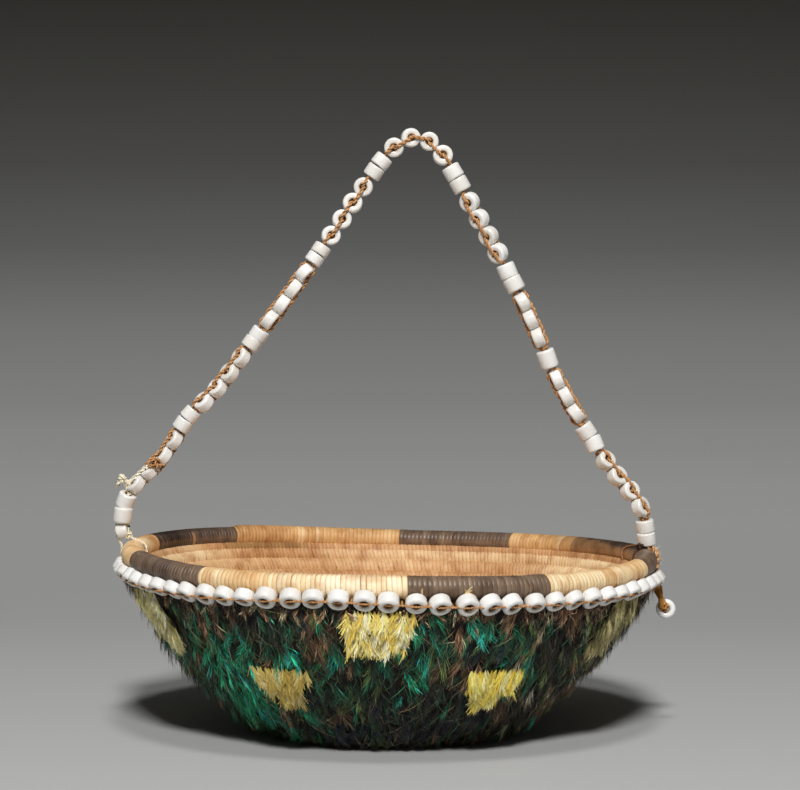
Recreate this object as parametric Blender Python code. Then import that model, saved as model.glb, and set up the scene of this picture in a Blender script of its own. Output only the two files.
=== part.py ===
"""A small coiled bowl basket covered with feathers, edged with white beads, with a beaded bail handle.

Metres, +Z up. The origin is the middle of the flat resting face. The handle stands over the X axis,
with the loose bead at the +X end, and -Y is the front. Angles along the rim are in degrees: those
called front angles start at the front and grow towards +X, and the others start at +X.
"""

import math

import bmesh
import bpy
from mathutils import Matrix, Vector

MM = 0.001

# Fit between neighbouring pieces
CLEARANCE = 0.3 * MM
FLOOR_CLEARANCE = 0.4 * MM

# Rim coil, whose middle line rises at both ends of the handle
RIM_RADIUS = 62.65 * MM
RIM_HEIGHT = 41.0 * MM
RIM_COIL = 5.3 * MM
RIM_LEFT_RISE = 2.5 * MM
RIM_RIGHT_RISE = 0.4 * MM
STITCH_THICKNESS = 0.4 * MM
RIM_STITCH_MARKS = (-137.5, -105.0, -70.0, -41.0, 3.5, 33.0, 68.5, 121.0, 147.5, 177.0)
RIM_SIDES = 8
ROD_BUNDLE_SIDES = 6

# Coil end, where the last rods taper away on top of the rim at the back
COIL_END_START = 132.5
COIL_END_STOP = 86.0
COIL_END_THICK = 1.8 * MM
COIL_END_THIN = 0.7 * MM
COIL_END_LEAN = 35.0
COIL_END_STEPS = 9

# Bowl wall, from the flat base to the rim
BASE_RADIUS = 27.0 * MM
WALL_THICKNESS = 3.2 * MM
WALL_ROWS = 15
ROW_GROOVE = 0.6 * MM
BASE_SLOPE = 36.0
RIM_SLOPE = 62.0
TURN_STEPS = 32

# Feather coat, sewn on in courses that overlap like shingles
FEATHER_COURSES = 5
FEATHER_THICKNESS = 3.3 * MM
FEATHER_ROOT = 0.6 * MM
FEATHER_TIP = 1.0 * MM
COURSE_OVERLAP = 1.6 * MM
COURSE_START = 1.0 * MM

# Yellow feather patches, five in each of two rows, at these front angles
PATCH_THICKNESS = 0.8 * MM
PATCH_TOP_WIDTH = 19.0 * MM
PATCH_BOTTOM_WIDTH = 11.0 * MM
PATCH_SET_BACK = COURSE_OVERLAP + CLEARANCE
UPPER_PATCH_COURSE = 0
UPPER_PATCH_FRONT_ANGLES = (-2.0, 65.0, 137.0, -141.0, -68.0)
LOWER_PATCH_COURSE = 2
LOWER_PATCH_FRONT_ANGLES = (28.0, 97.0, 171.0, -105.0, -30.0)
PATCH_COLUMNS = 3
PATCH_ROWS = 2

# White beads
BEAD_BORE = 2.1 * MM
BEAD_SIDES = 8
BEAD_CONTACT = 0.2 * MM

# Bead row, hung on the outer flank of the rim coil
ROW_BEADS = 74
ROW_BEAD_DIAMETER = 4.4 * MM
ROW_BEAD_LENGTH = 2.2 * MM
ROW_BEAD_STANDOFF = 0.55 * MM
ROW_CORD = 0.8 * MM
ROW_CORD_ENDS = (0.1 * MM, 0.9 * MM)
ROW_DROP_FRONT = 35.5
ROW_DROP_SIDE = 50.0

# Sewing cord
CORD = 0.5 * MM
CORD_SPREAD = 0.9 * MM

# Handle string, from the left end to the right: runs of beads lying across it, as the number of
# beads and the turn of their holes in degrees from the plane of the handle towards the front
CROSS_RUNS = ((1, 0), (4, 25), (4, 35), (4, 0), (4, 90), (4, 90), (4, 110), (3, 5), (3, 5), (4, 45))
RUN_BEFORE_LONG_BEAD = 7
CROSS_BEAD_DIAMETER = 4.85 * MM
PAIR_BEAD_DIAMETER = 4.4 * MM
FOOT_BEAD_DIAMETER = 3.6 * MM
CROSS_BEAD_LENGTH = 2.6 * MM
PAIR_BEAD_LENGTH = 3.1 * MM
LONG_BEAD_LENGTH = 4.9 * MM
TURN_GAP = 0.85 * MM
GAP_GROWTH = 0.25

# Handle feet, measured outwards from the middle line of the rim coil
LEFT_FOOT_OFFSET = 2.35 * MM
RIGHT_FOOT_OFFSET = 1.15 * MM

# Handle route in millimetres from its left foot: along the span, and up. The rise is stretched
# until the route is as long as the string of beads.
HANDLE_ROUTE = (
    (0.0, 0.0), (0.5, 4.0), (1.5, 7.8), (3.2, 11.4), (7.0, 16.5), (14.5, 25.9), (31.5, 45.7),
    (47.0, 66.4), (57.0, 81.2), (62.0, 88.4), (65.8, 93.0), (70.1, 96.0), (74.7, 95.8),
    (78.5, 92.8), (81.3, 88.4), (94.0, 64.8), (104.3, 42.7), (113.6, 24.7), (121.2, 13.2), (124.6, 8.8),
    (127.0, 4.8), (128.2, 0.8), (128.6, -3.0),
)
ROUTE_SAMPLES = 16

# Ties and knots of the handle
TIE_STEPS = 20
KNOT_SIZE = 2.0 * MM
PALE_KNOT_SIZE = 2.4 * MM
RIM_KNOT_ANGLE = 15.0

# Loose bead on the tail of the bead row's cord
TAIL_THICKNESS = 1.0 * MM
TAIL_DROP = 6.6 * MM
TAIL_OUT = 1.5 * MM
TAIL_KNOT_SIZE = 1.8 * MM


def colour_material(name, colour, roughness):
    material = bpy.data.materials.new(name)
    material.use_nodes = True
    shader = material.node_tree.nodes["Principled BSDF"]
    shader.inputs["Base Color"].default_value = (*colour, 1.0)
    shader.inputs["Roughness"].default_value = roughness
    shader.inputs["Metallic"].default_value = 0.0
    material.diffuse_color = (*colour, 1.0)
    return material


def link(name, data, material):
    data.materials.append(material)
    made = bpy.data.objects.new(name, data)
    bpy.context.scene.collection.objects.link(made)
    return made


def mesh_object(name, shape, material):
    """The bmesh as an object, its faces outwards and its round sides smooth."""
    bmesh.ops.recalc_face_normals(shape, faces=shape.faces)
    mesh = bpy.data.meshes.new(name)
    shape.to_mesh(mesh)
    shape.free()
    mesh.shade_smooth()
    mesh.set_sharp_from_angle(angle=math.radians(50.0))
    return link(name, mesh, material)


def cord_object(name, points, material, thickness=CORD, closed=False):
    """A cord as a curve with a round bevel along straight runs between the points."""
    curve = bpy.data.curves.new(name, "CURVE")
    curve.dimensions = "3D"
    curve.bevel_depth = thickness / 2
    curve.bevel_resolution = 0
    curve.use_fill_caps = not closed
    spline = curve.splines.new("POLY")
    spline.points.add(len(points) - 1)
    for place, point in zip(spline.points, points):
        place.co = (*point, 1.0)
    spline.use_cyclic_u = closed
    return link(name, curve, material)


def use_as_tool(made):
    """Keeps a solid that only shapes another one out of the model."""
    made.hide_render = True
    made.display_type = "WIRE"


def join(made, other):
    union = made.modifiers.new("union", "BOOLEAN")
    union.operation = "UNION"
    union.object = other
    use_as_tool(other)


def hang_on(axis, *objects):
    """Moves each object's origin onto the axis that it turns about."""
    for made in objects:
        made.data.transform(Matrix.Translation(-axis.location))
        made.parent = axis


def axis_empty(name, place):
    empty = bpy.data.objects.new(name, None)
    empty.location = place
    bpy.context.scene.collection.objects.link(empty)
    return empty


# Solids swept through stations, each a (middle, side, up) of the section there


def ring_of(shape, station, radius, sides):
    middle, side, up = station
    ring = []
    for k in range(sides):
        turn = math.tau * k / sides
        ring.append(shape.verts.new(middle + radius * (math.cos(turn) * side + math.sin(turn) * up)))
    return ring


def skin(shape, first, second):
    for k in range(len(first)):
        after = (k + 1) % len(first)
        shape.faces.new((first[k], first[after], second[after], second[k]))


def sweep_rod(shape, stations, radii, sides, closed=False):
    rings = [ring_of(shape, station, radius, sides) for station, radius in zip(stations, radii)]
    for first, second in zip(rings, rings[1:]):
        skin(shape, first, second)
    if closed:
        skin(shape, rings[-1], rings[0])
    else:
        shape.faces.new(rings[0])
        shape.faces.new(rings[-1])


def sweep_pipe(shape, stations, outer, bore, sides):
    outside = [ring_of(shape, station, outer, sides) for station in stations]
    inside = [ring_of(shape, station, bore, sides) for station in stations]
    for rings in (outside, inside):
        for first, second in zip(rings, rings[1:]):
            skin(shape, first, second)
    skin(shape, outside[0], inside[0])
    skin(shape, outside[-1], inside[-1])


def add_bead(shape, middle, axis, side, diameter, length, sides):
    up = axis.cross(side)
    ends = [(middle + axis * length * share, side, up) for share in (-0.5, 0.5)]
    sweep_pipe(shape, ends, diameter / 2, BEAD_BORE / 2, sides)


def add_knot(shape, middle, size):
    place = Matrix.Translation(middle)
    bmesh.ops.create_icosphere(shape, subdivisions=1, radius=size / 2, matrix=place)


def walk(points, distance):
    """The place and the direction at this distance along a line of points."""
    for start, end in zip(points, points[1:]):
        step = (end - start).length
        direction = (end - start) / step
        if distance <= step:
            return start + direction * distance, direction
        distance -= step
    return points[-1] + direction * distance, direction


def line_length(points):
    return sum((end - start).length for start, end in zip(points, points[1:]))


# The rim's own frame


def rim_rise(angle):
    """How far the rim coil stands above its front height, at an angle in radians from +X."""
    mean = (RIM_LEFT_RISE + RIM_RIGHT_RISE) / 2
    lean = (RIM_LEFT_RISE - RIM_RIGHT_RISE) / 2
    return mean * math.cos(angle) ** 2 - lean * math.cos(angle)


def outward(angle):
    return Vector((math.cos(angle), math.sin(angle), 0.0))


UP = Vector((0.0, 0.0, 1.0))


def rim_middle(angle):
    return outward(angle) * RIM_RADIUS + UP * (RIM_HEIGHT + rim_rise(angle))


def rim_stations(start, stop):
    """Stations along the rim coil between two angles in radians."""
    steps = math.ceil(abs(stop - start) * TURN_STEPS / math.tau - 0.01)
    angles = [start + (stop - start) * k / steps for k in range(steps + 1)]
    return [(rim_middle(angle), outward(angle), UP) for angle in angles]


def from_front(degrees):
    return math.radians(degrees - 90.0)


# The wall's own frame


def wall_line():
    """The wall's middle line from the rim down to the base, as (radius, height) points."""
    top_run = Vector((math.cos(math.radians(RIM_SLOPE)), math.sin(math.radians(RIM_SLOPE))))
    base_run = Vector((math.cos(math.radians(BASE_SLOPE)), math.sin(math.radians(BASE_SLOPE))))
    top = Vector((RIM_RADIUS, RIM_HEIGHT)) - top_run * (RIM_COIL / 2 + CLEARANCE)
    base = Vector((BASE_RADIUS, WALL_THICKNESS / 2))
    reach = (top - base).cross(top_run) / base_run.cross(top_run)
    belly = base + base_run * reach
    line = []
    samples = 8 * WALL_ROWS
    for k in range(samples + 1):
        t = k / samples
        line.append(top * (1 - t) ** 2 + belly * 2 * t * (1 - t) + base * t**2)
    return line


WALL_LINE = wall_line()
WALL_LENGTH = line_length(WALL_LINE)


def wall_place(distance, offset):
    """The (radius, height) this far down the wall from the rim, and this far outside its middle."""
    place, down = walk(WALL_LINE, distance)
    return place + Vector((-down.y, down.x)) * offset


def on_bowl(place, angle):
    """A (radius, height) at an angle, raised with the rim in proportion to its height."""
    height = place.y + rim_rise(angle) * place.y / RIM_HEIGHT
    return outward(angle) * place.x + UP * height


def turned(profile, closed):
    """A solid turned round the bowl's axis. An open profile starts and ends on the axis."""
    shape = bmesh.new()
    turns = [math.tau * k / TURN_STEPS for k in range(TURN_STEPS)]
    body = profile if closed else profile[1:-1]
    rings = [[shape.verts.new(on_bowl(place, turn)) for turn in turns] for place in body]
    for first, second in zip(rings, rings[1:]):
        skin(shape, first, second)
    if closed:
        skin(shape, rings[-1], rings[0])
    else:
        for end, ring in ((profile[0], rings[0]), (profile[-1], rings[-1])):
            pole = shape.verts.new((0.0, 0.0, end.y))
            for k in range(TURN_STEPS):
                shape.faces.new((pole, ring[k], ring[(k + 1) % TURN_STEPS]))
    return shape


# Bowl


def coiled_wall(material):
    half = WALL_THICKNESS / 2
    pitch = WALL_LENGTH / WALL_ROWS
    outer = [wall_place(WALL_LENGTH * k / 8, half) for k in range(8, -1, -1)]
    inner = [wall_place(0.0, -half + ROW_GROOVE)]
    for row in range(WALL_ROWS):
        inner.append(wall_place((row + 0.5) * pitch, -half))
        inner.append(wall_place((row + 1.0) * pitch, -half + ROW_GROOVE))
    resting_edge = Vector((BASE_RADIUS, 0.0))
    floor_edge = Vector((BASE_RADIUS - half, WALL_THICKNESS))
    inner[-1] = floor_edge
    profile = [Vector((0.0, 0.0)), resting_edge, *outer, *inner, Vector((0.0, WALL_THICKNESS))]
    wall = mesh_object("coiled_wall", turned(profile, closed=False), material)
    wall.modifiers.new("tie_notches", "BOOLEAN").object = tie_notch_cutter(material)
    return wall


def tie_notch_cutter(material):
    """Two slots across the wall's top edge, where the handle's ties go round the rim coil."""
    shape = bmesh.new()
    width = CORD + 2 * CLEARANCE
    depth = RIM_COIL / 2 + CORD + 2 * CLEARANCE
    for angle in (0.0, math.pi):
        middle = rim_middle(angle)
        across = Vector((0.0, 1.0, 0.0))
        ends = [(middle + across * width * share, outward(angle), UP) for share in (-0.5, 0.5)]
        sweep_rod(shape, ends, (depth, depth), 3 * RIM_SIDES)
    cutter = mesh_object("tie_notch_cutter", shape, material)
    use_as_tool(cutter)
    return cutter


def rim_rods(material):
    """The bundle of rods inside the rim coil's stitches."""
    shape = bmesh.new()
    stations = rim_stations(0.0, math.tau)[:-1]
    radius = RIM_COIL / 2 - STITCH_THICKNESS - CLEARANCE
    sweep_rod(shape, stations, [radius] * len(stations), ROD_BUNDLE_SIDES, closed=True)
    mesh_object("rim_rods", shape, material)


def rim_wraps(dark, light):
    """Stitched sections round the rim's rods, dark and light in turn."""
    trim = CLEARANCE / 2 / RIM_RADIUS
    stops = RIM_STITCH_MARKS[1:] + (RIM_STITCH_MARKS[0] + math.degrees(math.tau),)
    for k, (start, stop) in enumerate(zip(RIM_STITCH_MARKS, stops)):
        shape = bmesh.new()
        stations = rim_stations(from_front(start) + trim, from_front(stop) - trim)
        sweep_pipe(shape, stations, RIM_COIL / 2, RIM_COIL / 2 - STITCH_THICKNESS, RIM_SIDES)
        kind, material = ("light", light) if k % 2 else ("dark", dark)
        mesh_object(f"rim_wrap_{kind}_{k // 2 + 1}", shape, material)


def rim_coil_end(material):
    """The tapering end of the coil, sewn down on the inner side of the rim's top."""
    shape = bmesh.new()
    lean = math.radians(COIL_END_LEAN)
    stations = []
    radii = []
    for k in range(COIL_END_STEPS + 1):
        share = k / COIL_END_STEPS
        angle = math.radians(COIL_END_START + (COIL_END_STOP - COIL_END_START) * share)
        radius = (COIL_END_THICK + (COIL_END_THIN - COIL_END_THICK) * share) / 2
        away = UP * math.cos(lean) - outward(angle) * math.sin(lean)
        middle = rim_middle(angle) + away * (RIM_COIL / 2 + CLEARANCE + radius)
        stations.append((middle, outward(angle), UP))
        radii.append(radius)
    sweep_rod(shape, stations, radii, ROD_BUNDLE_SIDES)
    mesh_object("rim_coil_end", shape, material)


# Feathers


def course_span(course):
    """Where a course of feathers starts and stops, as distances down the wall."""
    half = WALL_THICKNESS / 2
    slope = math.radians(BASE_SLOPE)
    reach = (half + FEATHER_THICKNESS) * math.cos(slope) + FLOOR_CLEARANCE - half
    last = WALL_LENGTH - reach / math.sin(slope)
    pitch = (last - COURSE_START) / FEATHER_COURSES
    start = COURSE_START + course * pitch
    stop = min(start + pitch + COURSE_OVERLAP, last)
    return start, stop


def course_offset(course, distance):
    """How far the outside of a course lies from the wall's middle line."""
    start, stop = course_span(course)
    root = WALL_THICKNESS / 2 + CLEARANCE + FEATHER_ROOT
    tip = WALL_THICKNESS / 2 + FEATHER_THICKNESS
    return root + (tip - root) * (distance - start) / (stop - start)


def feather_courses(material):
    for course in range(FEATHER_COURSES):
        start, stop = course_span(course)
        profile = [
            wall_place(start, WALL_THICKNESS / 2 + CLEARANCE),
            wall_place(start, course_offset(course, start)),
            wall_place(stop, course_offset(course, stop)),
            wall_place(stop, course_offset(course, stop) - FEATHER_TIP),
        ]
        mesh_object(f"feather_course_{course + 1}", turned(profile, closed=True), material)


def add_patch(shape, course, angle):
    """One yellow patch over a course: a curved plate that narrows downwards."""
    start, stop = course_span(course)
    layers = []
    for layer in (0.0, PATCH_THICKNESS):
        grid = []
        for i in range(PATCH_ROWS + 1):
            down = i / PATCH_ROWS
            distance = start + PATCH_SET_BACK + (stop - start) * down
            width = PATCH_TOP_WIDTH + (PATCH_BOTTOM_WIDTH - PATCH_TOP_WIDTH) * down
            place = wall_place(distance, course_offset(course, distance) + CLEARANCE + layer)
            line = []
            for j in range(PATCH_COLUMNS + 1):
                across = width * (j / PATCH_COLUMNS - 0.5)
                line.append(shape.verts.new(on_bowl(place, angle + across / place.x)))
            grid.append(line)
        layers.append(grid)
    for grid in layers:
        for first, second in zip(grid, grid[1:]):
            for j in range(PATCH_COLUMNS):
                shape.faces.new((first[j], first[j + 1], second[j + 1], second[j]))
    edges = [grid[0] + [line[-1] for line in grid[1:]] + grid[-1][-2::-1] for grid in layers]
    edges = [edge + [line[0] for line in grid[-2:0:-1]] for edge, grid in zip(edges, layers)]
    skin(shape, *edges)


def yellow_patches(name, course, front_angles, material):
    for k, front_angle in enumerate(front_angles):
        shape = bmesh.new()
        add_patch(shape, course, from_front(front_angle))
        mesh_object(f"{name}_{k + 1}", shape, material)


# Bead row


def row_bead_frame(angle):
    """The middle and the outward axis of the row's bead at this angle."""
    share = math.cos(angle) ** 2
    drop = math.radians(ROW_DROP_FRONT + (ROW_DROP_SIDE - ROW_DROP_FRONT) * share)
    axis = outward(angle) * math.cos(drop) - UP * math.sin(drop)
    reach = RIM_COIL / 2 + ROW_BEAD_STANDOFF + ROW_BEAD_LENGTH / 2
    return rim_middle(angle) + axis * reach, axis


def row_angles():
    return [math.tau * (k + 0.5) / ROW_BEADS for k in range(ROW_BEADS)]


def row_bead(shape, middle, axis, side):
    """A six-sided bead of the row. Returns its two openings, where the cord comes in and goes out."""
    up = axis.cross(side)
    low, high = ROW_CORD_ENDS
    rings = []
    for radius in (ROW_BEAD_DIAMETER / 2, BEAD_BORE / 2):
        for share in (-0.5, 0.5):
            ring = []
            for k in range(6):
                turn = math.tau * (k + 0.5) / 6
                out = radius * (math.cos(turn) * side + math.sin(turn) * up)
                ring.append(shape.verts.new(middle + axis * ROW_BEAD_LENGTH * share + out))
            rings.append(ring)
    inner_end, outer_end, bore_inner_end, bore_outer_end = rings
    skin(shape, bore_inner_end, bore_outer_end)
    skin(shape, inner_end, bore_inner_end)
    skin(shape, outer_end, bore_outer_end)
    for k in (0, 1, 3, 4):
        shape.faces.new((inner_end[k], inner_end[k + 1], outer_end[k + 1], outer_end[k]))
    openings = []
    for below, above, facing in ((3, 2, -1), (5, 0, 1)):
        flat = middle + side * facing * ROW_BEAD_DIAMETER / 2 * math.cos(math.tau / 12)
        corners = (inner_end[below], inner_end[above], outer_end[above], outer_end[below])
        sides = ((-0.5, low), (0.5, low), (0.5, high), (-0.5, high))
        opening = [shape.verts.new(flat + up * ROW_CORD * u + axis * w) for u, w in sides]
        skin(shape, corners, opening)
        openings.append(opening)
    return openings


def bead_row(material):
    """The row's beads, made one string by the cord that runs from each to the next."""
    shape = bmesh.new()
    openings = []
    for angle in row_angles():
        middle, axis = row_bead_frame(angle)
        openings.append(row_bead(shape, middle, axis, UP.cross(outward(angle))))
    for k, (into, out) in enumerate(openings):
        after, _ = openings[(k + 1) % ROW_BEADS]
        skin(shape, out, after)
    mesh_object("rim_bead_row", shape, material)


# Handle


def tie_radius():
    return RIM_COIL / 2 + CLEARANCE + CORD / 2


def tie_outside():
    return tie_radius() + CORD / 2


def left_foot():
    """The middle of the lowest bead on the left, which lies just clear of the tie below it."""
    reach = tie_outside() + CLEARANCE + FOOT_BEAD_DIAMETER / 2
    rise = math.sqrt(reach**2 - LEFT_FOOT_OFFSET**2)
    middle = rim_middle(math.pi)
    return Vector((middle.x - LEFT_FOOT_OFFSET, 0.0, middle.z + rise))


AXIS_HEIGHT = left_foot().z


def right_foot():
    """The middle of the lowest bead on the right, whose lower edge clears the tie as it swings."""
    middle = rim_middle(0.0)
    swing = AXIS_HEIGHT - (middle.z + tie_outside() + CLEARANCE)
    drop = math.sqrt(swing**2 - (PAIR_BEAD_DIAMETER / 2) ** 2)
    return Vector((middle.x + RIGHT_FOOT_OFFSET, 0.0, AXIS_HEIGHT - drop + PAIR_BEAD_LENGTH / 2))


def smooth_line(points, samples):
    """Points along a smooth curve through the given ones."""
    ends = [2 * points[0] - points[1], *points, 2 * points[-1] - points[-2]]
    line = []
    for a, b, c, d in zip(ends, ends[1:], ends[2:], ends[3:]):
        for k in range(samples):
            t = k / samples
            bend = (c - a) * t + (2 * a - 5 * b + 4 * c - d) * t**2 + (3 * b - a - 3 * c + d) * t**3
            line.append(b + bend / 2)
    return [*line, points[-1]]


def handle_line(stretch):
    """The middle line of the handle, its rise stretched by this factor."""
    left = left_foot()
    right = right_foot()
    drawn_span, drawn_drop = HANDLE_ROUTE[-1]
    across = (right.x - left.x) / drawn_span
    points = []
    for along, up in HANDLE_ROUTE:
        share = along / drawn_span
        rise = (up - drawn_drop * share) * MM * stretch + (right.z - left.z) * share
        points.append(Vector((left.x + along * across, 0.0, left.z + rise)))
    return smooth_line(points, ROUTE_SAMPLES)


class Bead:
    """One bead of the handle string."""

    def __init__(self, kind, diameter, length, turn):
        self.kind = kind
        self.diameter = diameter
        self.length = length
        self.turn = math.radians(turn)
        self.half = diameter / 2 if kind == "cross" else length / 2

    def seat(self, line, distance):
        self.middle, self.along = walk(line, distance)
        outside = Vector((-self.along.z, 0.0, self.along.x))
        front = Vector((0.0, -1.0, 0.0))
        self.cross = outside * math.cos(self.turn) + front * math.sin(self.turn)
        self.side = self.along.cross(self.cross)

    def place(self, along, cross, side):
        return self.middle + self.along * along + self.cross * cross + self.side * side


def string_of_beads():
    """The handle's runs of beads in order, by the name of each run."""
    runs = {}
    for k, (count, turn) in enumerate(CROSS_RUNS):
        diameter = CROSS_BEAD_DIAMETER if k else FOOT_BEAD_DIAMETER
        cross = [Bead("cross", diameter, CROSS_BEAD_LENGTH, turn) for _ in range(count)]
        runs[f"handle_cross_beads_{k + 1}" if k else "handle_foot_bead"] = cross
        next_turn = CROSS_RUNS[min(k + 1, len(CROSS_RUNS) - 1)][1]
        mean_turn = (turn + next_turn) / 2
        if k == RUN_BEFORE_LONG_BEAD:
            runs["handle_long_bead"] = [
                Bead("axial", PAIR_BEAD_DIAMETER, LONG_BEAD_LENGTH, mean_turn)
            ]
        else:
            runs[f"handle_pair_beads_{k + 1}"] = [
                Bead("axial", PAIR_BEAD_DIAMETER, PAIR_BEAD_LENGTH, mean_turn) for _ in range(2)
            ]
    return runs


def bead_distances(beads):
    """How far along the handle each bead lies, with the beads of a run touching."""
    distances = [0.0]
    for k, (bead, after) in enumerate(zip(beads, beads[1:])):
        bead.gap = TURN_GAP * (1 + GAP_GROWTH * k / len(beads))
        if bead.kind == after.kind:
            bead.gap = -BEAD_CONTACT
        distances.append(distances[-1] + bead.half + bead.gap + after.half)
    return distances


def seat_beads(beads):
    """Lays the beads along the handle's line, stretched to just hold them."""
    distances = bead_distances(beads)
    low, high = 0.2, 5.0
    for _ in range(50):
        stretch = (low + high) / 2
        if line_length(handle_line(stretch)) < distances[-1]:
            low = stretch
        else:
            high = stretch
    line = handle_line(stretch)
    for bead, distance in zip(beads, distances):
        bead.seat(line, distance)


def gap_place(first, second, lead, cross, side):
    """A place in the gap between two beads, out from the string in the lead bead's directions."""
    gap = first.gap / 2
    middle = first.place(first.half + gap, 0.0, 0.0) + second.place(-second.half - gap, 0.0, 0.0)
    along = (first.along + second.along).normalized()
    across = (lead.cross - along * lead.cross.dot(along)).normalized()
    return middle / 2 + across * cross + along.cross(across) * side


def cord_route(beads, hand):
    """One of the two cords. In each cross bead it changes sides, and in the others it runs through."""
    side = hand * CORD_SPREAD / 2
    outside = CROSS_BEAD_LENGTH / 2 + CLEARANCE + CORD / 2
    first = beads[0]
    cross = hand * outside
    route = [first.place(CLEARANCE - first.half, cross, side)]
    for k, bead in enumerate(beads):
        before = beads[max(k - 1, 0)]
        after = beads[min(k + 1, len(beads) - 1)]
        if bead.kind == "axial":
            if before.kind == "cross":
                route.append(bead.place(-bead.half, 0.0, side))
            route.append(bead.place(bead.half, 0.0, side))
            continue
        if before.kind == "axial":
            route.append(gap_place(before, bead, bead, 0.0, side))
            route.append(gap_place(before, bead, bead, cross, side))
        route.append(bead.place(0.0, cross, side))
        cross = -cross
        route.append(bead.place(0.0, cross, side))
        if after.kind == "axial":
            route.append(gap_place(bead, after, bead, cross, side))
            route.append(gap_place(bead, after, bead, 0.0, side))
    last = beads[-1]
    tie_top = rim_middle(0.0).z + tie_outside()
    end = last.place(last.half, 0.0, side)
    route.append(Vector((end.x, end.y, tie_top + CLEARANCE)))
    return route


def bead_run(name, beads, material):
    """A run of beads pressed against each other, as the union of every other bead with the rest."""
    halves = []
    for part in (beads[::2], beads[1::2]):
        shape = bmesh.new()
        for bead in part:
            line = bead.cross if bead.kind == "cross" else bead.along
            add_bead(shape, bead.middle, line, bead.side, bead.diameter, bead.length, BEAD_SIDES)
        halves.append(shape)
    if len(beads) == 1:
        halves.pop().free()
        return [mesh_object(name, halves[0], material)]
    run = mesh_object(name, halves[0], material)
    rest = mesh_object(f"{name}_rest", halves[1], material)
    join(run, rest)
    return [run, rest]


def handle(glass, cord, pale_cord):
    axis = axis_empty("handle_swing_axis", Vector((0.0, 0.0, AXIS_HEIGHT)))
    runs = string_of_beads()
    beads = [bead for run in runs.values() for bead in run]
    seat_beads(beads)
    for name, run in runs.items():
        hang_on(axis, *bead_run(name, run, glass))
    hang_on(axis, cord_object("handle_cord_a", cord_route(beads, 1), cord))
    hang_on(axis, cord_object("handle_cord_b", cord_route(beads, -1), cord))
    handle_knots(axis, beads, cord, pale_cord)


def handle_knots(axis, beads, cord, pale_cord):
    """A pale knot outside the first full cross bead, and a brown one in the dip in front of the next."""
    after_first_pair = CROSS_RUNS[0][0] + 2
    bead = beads[after_first_pair]
    shape = bmesh.new()
    reach = bead.length / 2 + 2 * CLEARANCE + CORD + PALE_KNOT_SIZE / 2
    add_knot(shape, bead.place(0.0, reach, 0.0), PALE_KNOT_SIZE)
    hang_on(axis, mesh_object("handle_knot_pale", shape, pale_cord))
    bead = beads[after_first_pair + 1]
    shape = bmesh.new()
    along = bead.half + bead.gap / 2
    reach = math.sqrt((bead.half + CLEARANCE + KNOT_SIZE / 2) ** 2 - along**2)
    add_knot(shape, bead.place(along, 0.0, reach), KNOT_SIZE)
    hang_on(axis, mesh_object("handle_knot_brown", shape, cord))


def tie_points(angle, start, stop):
    """Points round the rim coil in the handle's plane, from the outer side over the underneath."""
    middle = rim_middle(angle)
    points = []
    for k in range(TIE_STEPS):
        turn = math.radians(start + (stop - start) * k / (TIE_STEPS - 1))
        points.append(middle + tie_radius() * (outward(angle) * math.cos(turn) + UP * math.sin(turn)))
    return points


def handle_ties(cord, pale_cord):
    foot = left_foot()
    outside = foot.x - CROSS_BEAD_LENGTH / 2 - CLEARANCE - CORD / 2
    lead = Vector((outside, 0.0, foot.z - FOOT_BEAD_DIAMETER / 2))
    left = [lead, *tie_points(math.pi, 0.0, -270.0)]
    cord_object("handle_tie_left", left, pale_cord)
    right = tie_points(0.0, 0.0, -360.0)[:-1]
    cord_object("handle_tie_right", right, cord, closed=True)
    shape = bmesh.new()
    turn = math.radians(RIM_KNOT_ANGLE)
    away = outward(0.0) * math.cos(turn) + UP * math.sin(turn)
    reach = tie_outside() + CLEARANCE + KNOT_SIZE / 2
    add_knot(shape, rim_middle(0.0) + away * reach, KNOT_SIZE)
    mesh_object("rim_knot_right", shape, cord)


# Loose bead


def loose_bead(glass, cord):
    """A bead hanging from the last mouth of the row, on the tail of the row's cord."""
    mouth, out = row_bead_frame(row_angles()[-1])
    top = mouth + out * (ROW_BEAD_LENGTH / 2 + CLEARANCE + TAIL_THICKNESS / 2)
    axis = axis_empty("loose_bead_axis", top)
    back = Vector((0.0, 1.0, 0.0))
    side = outward(0.0)
    face = ROW_BEAD_LENGTH / 2 + CLEARANCE + TAIL_THICKNESS / 2
    middle = top + side * TAIL_OUT - UP * TAIL_DROP + back * face
    shape = bmesh.new()
    add_bead(shape, middle, back, side, ROW_BEAD_DIAMETER, ROW_BEAD_LENGTH, BEAD_SIDES)
    bead = mesh_object("loose_bead", shape, glass)
    bend = top + side * TAIL_OUT / 2 - UP * TAIL_DROP / 2 - back * CLEARANCE
    end = middle + back * (ROW_BEAD_LENGTH / 2 + CLEARANCE)
    route = [top, bend, middle - back * face, end]
    tail = cord_object("loose_bead_tail", route, cord, TAIL_THICKNESS)
    shape = bmesh.new()
    add_knot(shape, end + back * (CLEARANCE + TAIL_KNOT_SIZE / 2), TAIL_KNOT_SIZE)
    knot = mesh_object("loose_bead_knot", shape, cord)
    hang_on(axis, bead, tail, knot)


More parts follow.
